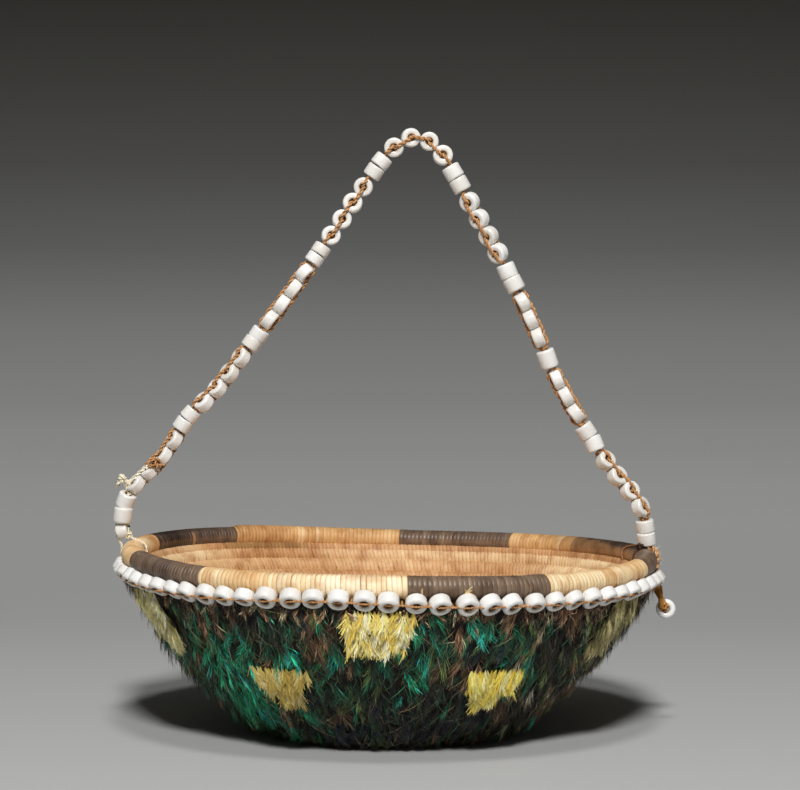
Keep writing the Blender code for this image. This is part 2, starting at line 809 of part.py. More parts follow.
def main():
    for old in list(bpy.data.objects):
        bpy.data.objects.remove(old)
    sedge = colour_material("light_sedge_root", (0.60, 0.38, 0.16), 0.55)
    dyed = colour_material("dark_dyed_root", (0.09, 0.065, 0.06), 0.5)
    willow = colour_material("willow_rods", (0.42, 0.27, 0.13), 0.7)
    green = colour_material("green_feathers", (0.015, 0.10, 0.06), 0.45)
    yellow = colour_material("yellow_feathers", (0.72, 0.60, 0.16), 0.6)
    glass = colour_material("white_glass", (0.84, 0.82, 0.80), 0.25)
    brown_cord = colour_material("brown_cord", (0.40, 0.19, 0.08), 0.8)
    pale_cord = colour_material("pale_cord", (0.72, 0.60, 0.38), 0.8)
    coiled_wall(sedge)
    rim_rods(willow)
    rim_wraps(dyed, sedge)
    rim_coil_end(dyed)
    feather_courses(green)
    yellow_patches("yellow_patch_upper", UPPER_PATCH_COURSE, UPPER_PATCH_FRONT_ANGLES, yellow)
    yellow_patches("yellow_patch_lower", LOWER_PATCH_COURSE, LOWER_PATCH_FRONT_ANGLES, yellow)
    bead_row(glass)
    handle(glass, brown_cord, pale_cord)
    handle_ties(brown_cord, pale_cord)
    loose_bead(glass, brown_cord)


main()
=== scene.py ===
import math

import bpy
import numpy as np
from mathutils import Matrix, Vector, noise


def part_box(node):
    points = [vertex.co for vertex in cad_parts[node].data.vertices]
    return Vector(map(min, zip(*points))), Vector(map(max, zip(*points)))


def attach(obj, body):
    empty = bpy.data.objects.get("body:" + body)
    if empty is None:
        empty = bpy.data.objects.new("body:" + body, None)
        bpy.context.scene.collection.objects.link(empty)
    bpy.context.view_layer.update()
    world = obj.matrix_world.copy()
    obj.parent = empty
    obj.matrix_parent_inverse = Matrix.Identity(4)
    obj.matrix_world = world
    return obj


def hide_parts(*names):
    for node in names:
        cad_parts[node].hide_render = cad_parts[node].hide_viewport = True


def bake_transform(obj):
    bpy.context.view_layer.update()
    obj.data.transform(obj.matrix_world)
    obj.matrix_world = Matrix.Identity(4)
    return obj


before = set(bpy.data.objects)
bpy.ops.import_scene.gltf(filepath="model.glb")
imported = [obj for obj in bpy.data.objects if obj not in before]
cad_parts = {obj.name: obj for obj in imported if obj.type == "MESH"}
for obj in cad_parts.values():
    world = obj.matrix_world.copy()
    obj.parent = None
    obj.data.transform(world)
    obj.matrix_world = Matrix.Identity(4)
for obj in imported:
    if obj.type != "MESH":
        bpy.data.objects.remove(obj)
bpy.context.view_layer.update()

MM = 0.001
UP = Vector((0.0, 0.0, 1.0))
FRONT = Vector((0.0, -1.0, 0.0))

# Angles are in degrees. A front angle is counted round the bowl from the front, to the right above
# zero and to the left below it. A tone runs from 0, the darkest of its material, to 1.

# Rim coil: its size and ends as in the model, and its quarters and sections as the photograph shows
RIM_RADIUS = 62.65 * MM
RIM_HEIGHT = 41.0 * MM
RIM_COIL = 5.3 * MM
RIM_LEFT_RISE = 2.5 * MM
RIM_RIGHT_RISE = 0.4 * MM
NEAR_QUARTERS_DROP = 0.85 * MM
FAR_LEFT_RISE = 0.65 * MM
RIM_STITCH_MARKS = (-137.5, -105.0, -70.0, -41.0, 3.5, 33.0, 68.5, 128.0, 147.5, 177.0)
RIM_STITCHES = 364
STITCH_THICKNESS = 0.34 * MM
STITCH_WIDTH = 1.22 * MM
RODS_DEPTH = 0.3 * MM
STITCH_LEAN = 4.0
PLAIN_TONE = 0.52
DYED_TONE = 0.55
FAR_RIM_STAIN = 0.2
PROUD_STITCHES = (29.5, 33.0)
OVER_STITCH_ANGLE = 6.2
BROKEN_ROOT_ANGLE = 14.8

# Where the dye has gone from the inner side of the dyed stitches, as front angles
BARE_STITCH = (-122.7, -121.7)
FADED_FROM = 78.0
MORE_FADED_FROM = 110.0
FADED_TO = 130.0

# Tapering end of the coil, under the far rim's stitches
COIL_END_START = 132.5
COIL_END_STOP = 86.0
COIL_END_THICK = 0.6 * MM
COIL_END_THIN = 0.1 * MM

# Wall and floor
BASE_RADIUS = 27.0 * MM
WALL_THICKNESS = 3.2 * MM
WALL_ROWS = 15
UPPER_ROWS = 6
FLOOR_ROWS = 8
STITCH_PITCH = 1.08 * MM
ROW_ARC = 0.75
ROW_ARC_REACH = 0.52
WALL_INSIDE = 1.62 * MM
BASE_SLOPE = 36.0
RIM_SLOPE = 62.0
BASE_LIFT = 0.05 * MM
INNER_STITCH_LEAN = 13.0

# Beads
ROW_BEADS = 74
ROW_BEAD_DIAMETER = 4.85 * MM
ROW_BEAD_LENGTH = 2.85 * MM
ROW_BEAD_STANDOFF = 0.05 * MM
ROW_SLIP = 0.42 * MM
ROW_SLIP_ANGLE = 14.0
ROW_CORD = 0.52 * MM
ROW_DROP_FRONT = 45.0
ROW_DROP_SIDE = 57.0
BEAD_BORE = 1.6 * MM
ROW_BEAD_BORE = 1.8 * MM
BEAD_EDGE = 0.55 * MM
ROW_BEAD_EDGE = 0.72 * MM
PAIR_BEAD_EDGE = 0.4 * MM
BEAD_TILT = 4.0

# Handle string: runs of beads that lie across it, as the number and the turn of their holes, and
# the length of each bead of the pair that follows the run, where the zero stands for one long bead
CROSS_RUNS = ((1, 0), (4, 25), (4, 35), (4, 0), (4, 90), (4, 94), (4, 128), (3, 5), (3, 5), (4, 48))
PAIR_LENGTHS = (3.7, 3.1, 2.9, 2.65, 3.1, 3.5, 3.6, 0.0, 3.65, 3.1)
CROSS_BEAD_DIAMETER = 4.76 * MM
CROSS_BEAD_LENGTH = 2.8 * MM
FOOT_BEAD_DIAMETER = 3.6 * MM
PAIR_BEAD_DIAMETER = 4.5 * MM
PAIR_BEAD_LENGTH = 3.1 * MM
LONG_BEAD_LENGTH = 4.9 * MM
CORD_CLEARANCE = 0.3 * MM
MODEL_CORD = 0.5 * MM
HANDLE_CORD = 1.0 * MM
TURN_GAP = 0.41 * MM
GAP_GROWTH = 1.2
CORD_SPREAD = 0.55 * MM
PALE_KNOT_BEAD = 3
BROWN_KNOT_BEAD = 4
LEFT_FOOT_OFFSET = 2.9 * MM
RIGHT_FOOT_OFFSET = 0.4 * MM
RIGHT_FOOT_RISE = 5.0 * MM
FOOT_BEAD_LEAN = 20.0
FOOT_PAIR_TILT = 10.0

# Route of the handle's string from its left foot, in millimetres to the right and up
HANDLE_ROUTE = (
    (0.0, 0.0), (0.2, 3.7), (0.8, 7.3), (2.9, 11.0), (6.1, 14.2), (9.6, 18.0), (12.3, 21.8), (16.2, 28.1),
    (23.1, 35.0), (31.4, 45.9), (39.0, 55.7), (46.8, 66.6), (53.8, 76.8), (59.0, 84.7), (63.6, 91.2),
    (66.4, 94.4), (70.2, 96.9), (74.4, 96.6), (77.9, 93.6), (80.7, 89.2), (84.8, 81.8), (89.5, 73.3),
    (95.6, 61.8), (102.0, 47.9), (106.2, 38.1), (111.0, 29.4), (115.4, 21.9), (121.2, 13.7), (124.3, 10.1),
    (127.0, 6.2), (128.2, 1.6), (128.6, -2.0),
)

# Twisted cords: a step along them and the thickness of a ply, as shares of their diameter, and how
# often one turns in a knot
CORD_STEP = 0.28
PLY_THICKNESS = 0.56
KNOT_TURNS = 2.35

# Knots, loose ends and wraps, as offsets in millimetres. The knots' are from a bead's middle, the
# loose ends' from their knot, and the rest from the rim's middle at the right foot.
PALE_KNOT_PLACE = (-3.4, -0.7, 1.3)
PALE_END = ((2.3, 0.2, -1.1), (0.9, 0.0, -0.6), (0.0, 0.0, 0.0), (-0.7, -0.1, -0.6), (-1.0, -0.1, -1.6))
BROWN_KNOT_PLACE = (1.3, -2.3, 2.0)
BROWN_END = ((0.0, 0.0, 0.0), (1.2, -0.2, -0.5), (2.5, 0.3, -0.6))
LEFT_TIE_END = ((0.0, 0.0, 0.0), (0.9, -0.4, -0.7), (1.7, -0.5, -1.6))
RIGHT_WRAP = (
    (0.2, -0.6, 3.0), (1.5, -0.9, 2.8), (2.6, -1.1, 1.8), (3.0, -1.1, 0.2), (2.7, -1.0, -1.4),
    (2.4, -0.9, -2.7), (2.6, -0.7, -3.9),
)
RIGHT_WRAP_TUFTS = ((2.6, -1.2, 2.2), (3.2, -1.2, 0.4), (2.9, -1.1, -1.4))
LOOSE_TAIL_TOP = (3.0, -1.2, -7.0)

# Loose bead: its front angle, and in millimetres how far it hangs from its solid
LOOSE_BEAD_ANGLE = 89.0
LOOSE_BEAD_SHIFT = (-0.35, 0.0, -0.8)

# Feathers
FEATHER_ROWS = 27
FEATHER_SPACING = 2.3 * MM
FEATHER_LENGTH = 7.8 * MM
BARBS = 36
BARB_WIDTH = 0.16 * MM
COAT_START = 0.4 * MM
COAT_STOP = 46.0 * MM
UNDER_COAT = 1.1 * MM
UNDER_COAT_REACH = 0.915
RIGHT_SIDE = (20.0, 100.0)
RIGHT_SIDE_SHADE = 1.4
ROOT_HEIGHT = 0.8 * MM
COURSES = 5
WISPS = 2700
FRINGE_TUFTS = 640
FRINGE_RAISED = 0.8 * MM
FRINGE_BARBS = 16
FIBRE_WIDTH = 0.16 * MM
YELLOW_SPACING = 0.95 * MM
YELLOW_LENGTH = 5.8 * MM
YELLOW_RAISED = 1.6 * MM
YELLOW_BARBS = 32
YELLOW_BARB_WIDTH = 0.23 * MM

# Yellow patches: front angle, width, first and last root down the wall, narrowing, how far round
# the bowl the lower end shifts, and hue, with their lengths and the rows' spacing in millimetres
YELLOW_ROW_SPACING = 0.8
UPPER_PATCHES = (
    (-2.0, 14.2, 0.2, 7.6, 0.15, -1.0, "primrose"), (59.0, 13.0, 0.2, 11.5, 0.5, -3.5, "olive"),
    (137.0, 14.0, 0.2, 7.4, 0.15, 0.0, "primrose"), (-141.0, 14.0, 0.2, 7.0, 0.2, 0.0, "gold"),
    (-62.5, 12.5, 0.2, 12.5, 0.5, 3.0, "khaki"),
)
LOWER_PATCHES = (
    (26.7, 15.0, 17.0, 24.6, 0.55, -0.8, "lemon"), (97.0, 13.0, 17.0, 23.0, 0.4, 0.0, "gold"),
    (171.0, 13.5, 17.0, 23.5, 0.4, 0.0, "primrose"), (-105.0, 13.0, 17.0, 23.0, 0.4, 0.0, "gold"),
    (-28.0, 15.2, 17.2, 25.2, 0.66, 0.5, "gold"),
)

# Brighter and darker areas of the coat: front angle, height in millimetres, spreads in degrees round
# and in millimetres down, and strength
COAT_AREAS = (
    (-42.0, 13.0, 15.0, 7.0, 0.8), (-47.0, 25.0, 15.0, 6.0, 0.42), (-15.0, 26.0, 12.0, 7.0, 0.3),
    (16.0, 32.0, 14.0, 4.5, 0.55), (8.0, 21.0, 12.0, 5.0, 0.06), (-22.0, 15.0, 7.0, 5.0, -0.35),
    (8.0, 7.0, 27.0, 7.0, -0.75), (-8.0, 33.0, 6.0, 4.0, -0.3), (45.0, 14.0, 18.0, 9.0, -0.3),
)

# Colours of the coat from its brightest areas on: the least brightness, the share of the first kind
# and both kinds
COAT_KINDS = (
    (0.84, 0.3, "teal", "emerald"), (0.58, 0.75, "green", "moss"), (0.34, 0.8, "deep", "moss"),
)

# What differs near some front angles: the angle, how far it spreads and how much more it is
PLAIN_TONES = ((-4.0, 21.0, 0.27), (-147.0, 8.0, -0.4), (-40.0, 10.0, -0.2))
# The dyed stitches darken at the rim's far left end as painted shadow there, and darken at the far right
DYED_TONES = ((-110.0, 12.0, -0.5), (106.0, 12.0, -0.25))
STITCH_LEANS = ((112.0, 22.0, 24.0),)
# Painted shadow on the inner wall under the far left of the rim, and painted light at both ends
INNER_PAINTED_SHADOW = ((-148.0, 17.0, -0.5),)
INNER_PAINTED_LIGHT = ((118.0, 13.0, 0.4),)
ROW_DROPS = ((92.0, 9.0, 1.8 * MM),)
FEATHER_LIFTS = ((-75.0, 28.0, 14.0),)

# Patterns: the size of their spots. Real root and twine fibres are under 0.1 mm thick, which wouldn't
# show in the render, so they are drawn this coarse.
ROOT_FIBRE = 0.25 * MM
ROOT_STAIN = 3.85 * MM
ROD_FIBRE = 0.333 * MM
ROD_STAIN = 2.0 * MM
GLASS_RIPPLE = 1.43 * MM
TWINE_FIBRE = 0.238 * MM
DOWN_TUFT = 0.667 * MM
DOWN_STAIN = 1.43 * MM

# Fineness of the meshes: the smaller the number, the coarser
BOWL_STEPS = 192
RIM_STEPS = 180
ROD_SIDES = 12
RING_STITCH_STEPS = 18
ARC_STITCH_STEPS = 5
STITCH_SIDES = 10
BEAD_STEPS = 28
BEAD_EDGE_STEPS = 4
BARB_STEPS = 4
CORNER_CUTS = 2

# Camera: its place in metres, its lens and sensor in millimetres, and its aim down and to the right
CAMERA_PLACE = (0.0, -0.546, 0.0919)
CAMERA_LENS = 100.3
CAMERA_SENSOR = 36.0
CAMERA_DOWN = 1.08
CAMERA_RIGHT = 0.27

# Studio, in metres: the floor's reach, and where the backdrop's bend starts and its radius
FLOOR_REACH = 4.0
BEND_START = 1.6
BEND_RADIUS = 0.6

# Lamps: name, place and size in metres, and watts. The last value is the strength of the light that
# comes from all round.
LAMPS = (("front", (0.0, -1.05, 0.9), 0.2, 16.0), ("over_rim", (0.02, -0.55, 1.0), 0.16, 3.5))
LAMPS_AIM = (0.0, 0.0, 0.03)
BACK_LAMPS = (("back_left", (-0.6, 0.98, 0.4), 0.3, 3.6), ("back_right", (0.6, 0.98, 0.4), 0.3, 3.6))
BACK_LAMPS_AIM = (0.0, 0.0, 0.04)
ROOM_LIGHT = 0.05

# The kinds of node that are used most
ATTRIBUTE = "ShaderNodeAttribute"
GIVEN = "GeometryNodeInputNamedAttribute"
MATHS = "ShaderNodeMath"
MIX = "ShaderNodeMix"
RAMP = "ShaderNodeValToRGB"
STORE = "GeometryNodeStoreNamedAttribute"


# Colour and node helpers


def linear(hex_code):
    """An sRGB hex colour as linear red, green and blue."""
    values = []
    for k in (1, 3, 5):
        share = int(hex_code[k : k + 2], 16) / 255
        values.append(share / 12.92 if share <= 0.04045 else ((share + 0.055) / 1.055) ** 2.4)
    return tuple(values)


def set_stops(colour_ramp, stops):
    """Gives a colour ramp its stops, each a place and a hex colour."""
    while len(colour_ramp.elements) < len(stops):
        colour_ramp.elements.new(0.5)
    for element, (place, hex_code) in zip(colour_ramp.elements, stops):
        element.position = place
        element.color = (*linear(hex_code), 1.0)


def add(tree, kind, links=None, stops=(), **settings):
    """Adds a node with its settings, and with a link, a plain value or a hex colour for each input
    that is given by name or number. Returns the node's outputs."""
    made = tree.nodes.new(kind)
    for name, value in settings.items():
        setattr(made, name, value)
    for socket, value in (links or {}).items():
        target = made.inputs[socket]
        if isinstance(value, bpy.types.NodeSocket):
            tree.links.new(value, target)
        elif isinstance(value, str) and value.startswith("#"):
            target.default_value = (*linear(value), 1.0)
        else:
            target.default_value = value
    if stops:
        set_stops(made.color_ramp, stops)
    return made.outputs


def plain_material(name, roughness, **sockets):
    """A Principled material and its tree, with constants on the shader's own sockets."""
    made = bpy.data.materials.new(name)
    made.use_nodes = True
    shader = made.node_tree.nodes["Principled BSDF"]
    shader.inputs["Roughness"].default_value = roughness
    for socket, value in sockets.items():
        shader.inputs[socket.replace("_", " ")].default_value = value
    return made, made.node_tree, shader


def finish(tree, shader, colour, heights, depth, strength=0.6):
    """Gives a shader its colour, and relief this deep from a pattern of heights."""
    bump = add(tree, "ShaderNodeBump", {"Height": heights, "Distance": depth, "Strength": strength})
    tree.links.new(colour, shader.inputs["Base Color"])
    tree.links.new(bump["Normal"], shader.inputs["Normal"])


def grain(tree, spot, detail=4.0):
    """Noise on the piece's own coordinates, with spots of this size."""
    place = add(tree, "ShaderNodeTexCoord")["Object"]
    return add(tree, "ShaderNodeTexNoise", {"Vector": place, "Scale": 1.0 / spot, "Detail": detail})["Fac"]


# Materials


def split_root(name, stops, painted_edge_colour, roughness, stain, undyed=None, orange_top_and_shaded_underside=None):
    """Split sedge root: a tone to each stitch, painted highlight along the edges of dyed root and painted
    shade along those of plain root, and stains over many stitches.
    Dyed root may show its undyed colour on the inner side, and plain root be more orange in a band over the
    coil's top and underside, which on the underside is painted shade."""
    made, tree, shader = plain_material(name, roughness, Specular_IOR_Level=0.35)
    tone = add(tree, ATTRIBUTE, attribute_name="tone")["Fac"]
    tone = add(tree, RAMP, {"Fac": tone}, stops)["Color"]
    edge = add(tree, ATTRIBUTE, attribute_name="edge")["Fac"]
    # Painted light along the stitch's edges: painted highlight on dyed root, painted shade in the grooves of
    # plain root.
    edge = add(tree, RAMP, {"Fac": edge}, ((0.62, "#000000"), (1.0, "#C0C0C0")))["Color"]
    colour = add(tree, MIX, {0: edge, 6: tone, 7: painted_edge_colour}, data_type="RGBA")[2]
    if undyed:
        tint = add(tree, ATTRIBUTE, attribute_name="tint")["Fac"]
        side = add(tree, ATTRIBUTE, attribute_name="outer_side")["Fac"]
        below = add(tree, MATHS, {0: tint, 1: side}, operation="SUBTRACT")["Value"]
        sharp = add(tree, MATHS, {0: below, 1: 6.0}, operation="MULTIPLY")["Value"]
        share = add(tree, MATHS, {0: sharp, 1: 0.85}, operation="MINIMUM")["Value"]
        colour = add(tree, MIX, {0: share, 6: colour, 7: undyed}, data_type="RGBA")[2]
    if orange_top_and_shaded_underside:
        side = add(tree, ATTRIBUTE, attribute_name="outer_side")["Fac"]
        # A band over the coil's top and underside: more orange along the top, and painted shade along the
        # underside above the beads.
        top = add(tree, RAMP, {"Fac": side}, (
            (0.36, "#000000"), (0.45, "#B0B0B0"), (0.6, "#B0B0B0"), (0.78, "#000000"),
        ))["Color"]
        colour = add(tree, MIX, {0: top, 6: colour, 7: orange_top_and_shaded_underside}, data_type="RGBA")[2]
    dirt = add(tree, RAMP, {"Fac": grain(tree, ROOT_STAIN)}, ((0.34, stain), (0.54, "#FFFFFF")))["Color"]
    colour = add(tree, MIX, {0: 0.5, 6: colour, 7: dirt}, data_type="RGBA", blend_type="MULTIPLY")[2]
    finish(tree, shader, colour, grain(tree, ROOT_FIBRE), depth=0.03 * MM)
    return made


def willow():
    """Peeled willow rod, in the grooves between stitches: brown and dull, dusty in the hollows."""
    made, tree, shader = plain_material("willow_rod", roughness=0.8)
    colour = add(tree, RAMP, {"Fac": grain(tree, ROD_STAIN)}, ((0.3, "#7A5434"), (0.7, "#A87A4C")))["Color"]
    finish(tree, shader, colour, grain(tree, ROD_FIBRE), depth=0.1 * MM)
    return made


def white_glass():
    """Opaque white glass, drawn and fire-rounded: soft gloss, and a warm brown round the hole and in the
    bore that is partly dirt and partly painted shade.
    """
    made, tree, shader = plain_material(
        "white_glass", roughness=0.28, IOR=1.5, Coat_Weight=0.25, Coat_Roughness=0.15,
        Subsurface_Weight=0.08, Subsurface_Radius=(0.6 * MM, 0.5 * MM, 0.4 * MM), Subsurface_Scale=1.0,
    )
    tone = add(tree, ATTRIBUTE, attribute_name="tone")["Fac"]
    glass = add(tree, RAMP, {"Fac": tone}, ((0.0, "#DEDAD2"), (0.85, "#E9E7E3"), (1.0, "#EBE2C8")))["Color"]
    reach = add(tree, ATTRIBUTE, attribute_name="from_bore")["Fac"]
    # Darker towards the bore: partly dirt round the hole, partly painted shade in the bore.
    dirt = add(tree, RAMP, {"Fac": reach}, (
        (0.0, "#7C6A56"), (0.06, "#AC967A"), (0.16, "#E6DCCE"), (0.38, "#FFFFFF"),
    ))["Color"]
    colour = add(tree, MIX, {0: 1.0, 6: glass, 7: dirt}, data_type="RGBA", blend_type="MULTIPLY")[2]
    finish(tree, shader, colour, grain(tree, GLASS_RIPPLE), depth=0.03 * MM, strength=0.4)
    return made


def twine(name, dark, middle, light, roughness=0.75):
    """Two-ply plant-fibre twine: fuzzy, with dark dirt in spots over its fibres."""
    made, tree, shader = plain_material(name, roughness, Sheen_Weight=0.1)
    fibres = grain(tree, TWINE_FIBRE, detail=6.0)
    colour = add(tree, RAMP, {"Fac": fibres}, ((0.3, dark), (0.5, middle), (0.72, light)))["Color"]
    finish(tree, shader, colour, fibres, depth=0.08 * MM, strength=0.8)
    return made


def feather_barbs(name, root, tip, roughness=0.42, worn=None):
    """Feather barbs, each in its own colour, darkened towards their roots as painted shade under the
    feathers above, and with a tint for their worn tips.
    """
    made, tree, shader = plain_material(name, roughness, Specular_IOR_Level=0.4)
    own = add(tree, ATTRIBUTE, attribute_name="tint")["Color"]
    reach = add(tree, ATTRIBUTE, attribute_name="reach")["Fac"]
    # Painted shade: barbs darken towards their roots, under the feathers above.
    shade = add(tree, RAMP, {"Fac": reach}, ((0.0, root), (0.45, "#FFFFFF"), (1.0, tip)))["Color"]
    colour = add(tree, MIX, {0: 1.0, 6: own, 7: shade}, data_type="RGBA", blend_type="MULTIPLY")[2]
    if worn:
        tips = add(tree, RAMP, {"Fac": reach}, ((0.6, "#000000"), (1.0, "#A0A0A0")))["Color"]
        colour = add(tree, MIX, {0: tips, 6: colour, 7: worn}, data_type="RGBA")[2]
    tree.links.new(colour, shader.inputs["Base Color"])
    return made


def down():
    """Matted down under the feathers: dull near-black brown, which is partly painted shade between the
    feathers.
    """
    made, tree, shader = plain_material("matted_down_and_painted_shade", roughness=0.95)
    colour = add(tree, RAMP, {"Fac": grain(tree, DOWN_STAIN)}, ((0.3, "#0C0D0B"), (0.7, "#241A13")))["Color"]
    finish(tree, shader, colour, grain(tree, DOWN_TUFT), depth=0.4 * MM)
    return made


# Mesh helpers


def mesh_piece(name, points, faces, material, attributes=()):
    """A smooth mesh from points and faces. Each attribute is a name, a kind and a value for each point."""
    mesh = bpy.data.meshes.new(name)
    mesh.from_pydata([tuple(point) for point in points], [], [tuple(face) for face in faces])
    for label, kind, values in attributes:
        key = {"FLOAT": "value", "FLOAT_VECTOR": "vector", "FLOAT_COLOR": "color"}[kind]
        given = mesh.attributes.new(label, kind, "POINT")
        given.data.foreach_set(key, np.asarray(values, np.float32).ravel())
    mesh.validate()
    mesh.shade_smooth()
    if material:
        mesh.materials.append(material)
    made = bpy.data.objects.new(name, mesh)
    bpy.context.scene.collection.objects.link(made)
    return made


def tube_rings(points, across, up, radii, sides):
    """Rings of points round a line, whose section lies in its own across and up directions."""
    turns = np.arange(sides) * math.tau / sides
    wide = np.cos(turns)[None, :, None] * across[:, None, :]
    high = np.sin(turns)[None, :, None] * up[:, None, :]
    return points[:, None, :] + (wide + high) * np.asarray(radii)[:, None, None]


def tube_faces(count, sides, closed, first=0):
    """Faces of a tube of this many rings, outwards where across, up and the line are right-handed."""
    faces = []
    for i in range(count if closed else count - 1):
        for k in range(sides):
            after = (k + 1) % sides
            here = first + i * sides
            there = first + (i + 1) % count * sides
            faces.append((here + k, here + after, there + after, there + k))
    if not closed:
        last = first + (count - 1) * sides
        faces.append(tuple(first + k for k in reversed(range(sides))))
        faces.append(tuple(last + k for k in range(sides)))
    return faces


def carried_frames(points, closed):
    """Directions across a line, carried along it with as little twist as can be."""
    after = np.roll(points, -1, 0)
    before = np.roll(points, 1, 0)
    if not closed:
        after[-1] = points[-1]
        before[0] = points[0]
    along = after - before
    along /= np.linalg.norm(along, axis=1)[:, None]
    start = np.cross(along[0], (0.3, 0.9, 0.2))
    across = [start / np.linalg.norm(start)]
    for direction in along[1:]:
        carried = across[-1] - direction * (across[-1] @ direction)
        across.append(carried / np.linalg.norm(carried))
    across = np.array(across)
    return along, across, np.cross(along, across)


def smooth_points(points):
    """The line with its corners cut, as a cord under tension lies."""
    for _ in range(CORNER_CUTS):
        start = points[:-1] * 0.75 + points[1:] * 0.25
        stop = points[:-1] * 0.25 + points[1:] * 0.75
        middle = np.stack([start, stop], 1).reshape(-1, 3)
        points = np.concatenate([points[:1], middle, points[-1:]])
    return points


def evenly(points, step):
    """The line with its points this far from each other."""
    lengths = np.linalg.norm(np.diff(points, axis=0), axis=1)
    reach = np.concatenate([[0.0], np.cumsum(lengths)])
    count = max(4, int(reach[-1] / step))
    places = np.linspace(0.0, reach[-1], count)
    return np.stack([np.interp(places, reach, points[:, k]) for k in range(3)], 1)


def two_ply(name, route, diameter, material, lay=2.7, closed=False, sides=5):
    """A twisted cord along a route: its plies wind round each other once in this many diameters."""
    points = np.array([tuple(point) for point in route], float)
    if closed:
        points = np.concatenate([points, points[:1]])
    points = evenly(smooth_points(points), diameter * CORD_STEP)
    if closed:
        points = points[:-1]
    along, across, up = carried_frames(points, closed)
    reach = np.arange(len(points)) * diameter * CORD_STEP
    winds = reach[-1] / (lay * diameter)
    spin = reach / reach[-1] * math.tau * (round(winds) if closed else winds)
    ply = diameter / 2 * PLY_THICKNESS
    radii = np.full(len(points), ply)
    plies = []
    faces = []
    for turn in (spin, spin + math.pi):
        away = np.cos(turn)[:, None] * across + np.sin(turn)[:, None] * up
        beside = np.cross(along, away)
        middle = points + away * (diameter / 2 - ply * 0.92)
        faces += tube_faces(len(points), sides, closed, len(plies) * len(points) * sides)
        plies.append(tube_rings(middle, away, beside, radii, sides).reshape(-1, 3))
    return mesh_piece(name, np.concatenate(plies), faces, material)


# Repeated shapes: each tree builds one shape and sets it on the points that it is given


def start_tree(name, inputs):
    """A Geometry Nodes tree with these named sizes. Returns it with its sockets by name."""
    tree = bpy.data.node_groups.new(name, "GeometryNodeTree")
    interface = tree.interface
    interface.new_socket("Places", in_out="INPUT", socket_type="NodeSocketGeometry")
    for label in inputs:
        interface.new_socket(label, in_out="INPUT", socket_type="NodeSocketFloat")
    interface.new_socket("Material", in_out="INPUT", socket_type="NodeSocketMaterial")
    interface.new_socket("Shape", in_out="OUTPUT", socket_type="NodeSocketGeometry")
    return tree, add(tree, "NodeGroupInput")


def own_place(tree):
    """The coordinates of the small shape's points, by the names of their axes."""
    place = add(tree, "GeometryNodeInputPosition")["Position"]
    return add(tree, "ShaderNodeSeparateXYZ", {"Vector": place})


def end_tree(tree, sockets, shape, curled=False):
    """Sets the shape on each place, with its Z along facing and its X along the place's run."""
    facing = add(tree, GIVEN, {"Name": "facing"}, data_type="FLOAT_VECTOR")["Attribute"]
    run = add(tree, GIVEN, {"Name": "run"}, data_type="FLOAT_VECTOR")["Attribute"]
    size = add(tree, GIVEN, {"Name": "size"}, data_type="FLOAT_VECTOR")["Attribute"]
    links = {"Primary Axis": facing, "Secondary Axis": run}
    turn = add(tree, "FunctionNodeAxesToRotation", links, primary_axis="Z", secondary_axis="X")["Rotation"]
    links = {"Points": sockets["Places"], "Instance": shape, "Rotation": turn, "Scale": size}
    placed = add(tree, "GeometryNodeInstanceOnPoints", links)["Instances"]
    real = add(tree, "GeometryNodeRealizeInstances", {"Geometry": placed})["Geometry"]
    if curled:
        curl = add(tree, GIVEN, {"Name": "curl"}, data_type="FLOAT_VECTOR")["Attribute"]
        reach = add(tree, GIVEN, {"Name": "reach"}, data_type="FLOAT")["Attribute"]
        square = add(tree, MATHS, {0: reach, 1: reach}, operation="MULTIPLY")["Value"]
        bend = add(tree, "ShaderNodeVectorMath", {0: curl, "Scale": square}, operation="SCALE")["Vector"]
        real = add(tree, "GeometryNodeSetPosition", {"Geometry": real, "Offset": bend})["Geometry"]
    smooth = add(tree, "GeometryNodeSetShadeSmooth", {"Geometry": real})["Geometry"]
    links = {"Geometry": smooth, "Material": sockets["Material"]}
    done = add(tree, "GeometryNodeSetMaterial", links)["Geometry"]
    add(tree, "NodeGroupOutput", {"Shape": done})
    return tree


def stitch_strip(tree, sockets, line):
    """A flat oval strip of root along a curve, which keeps how near its edge each point is."""
    links = {"Resolution": STITCH_SIDES, "Radius": 0.5}
    section = add(tree, "GeometryNodeCurvePrimitiveCircle", links)["Curve"]
    links = {"X": sockets["Thickness"], "Y": sockets["Width"], "Z": 1.0}
    oval = add(tree, "ShaderNodeCombineXYZ", links)["Vector"]
    flat = add(tree, "GeometryNodeTransform", {"Geometry": section, "Scale": oval})["Geometry"]
    strip = add(tree, "GeometryNodeCurveToMesh", {"Curve": line, "Profile Curve": flat})["Mesh"]
    across = add(tree, MATHS, {0: own_place(tree)["Z"]}, operation="ABSOLUTE")["Value"]
    half = add(tree, MATHS, {0: sockets["Width"], 1: 0.5}, operation="MULTIPLY")["Value"]
    edge = add(tree, MATHS, {0: across, 1: half}, operation="DIVIDE")["Value"]
    return add(tree, STORE, {"Geometry": strip, "Name": "edge", "Value": edge})["Geometry"]


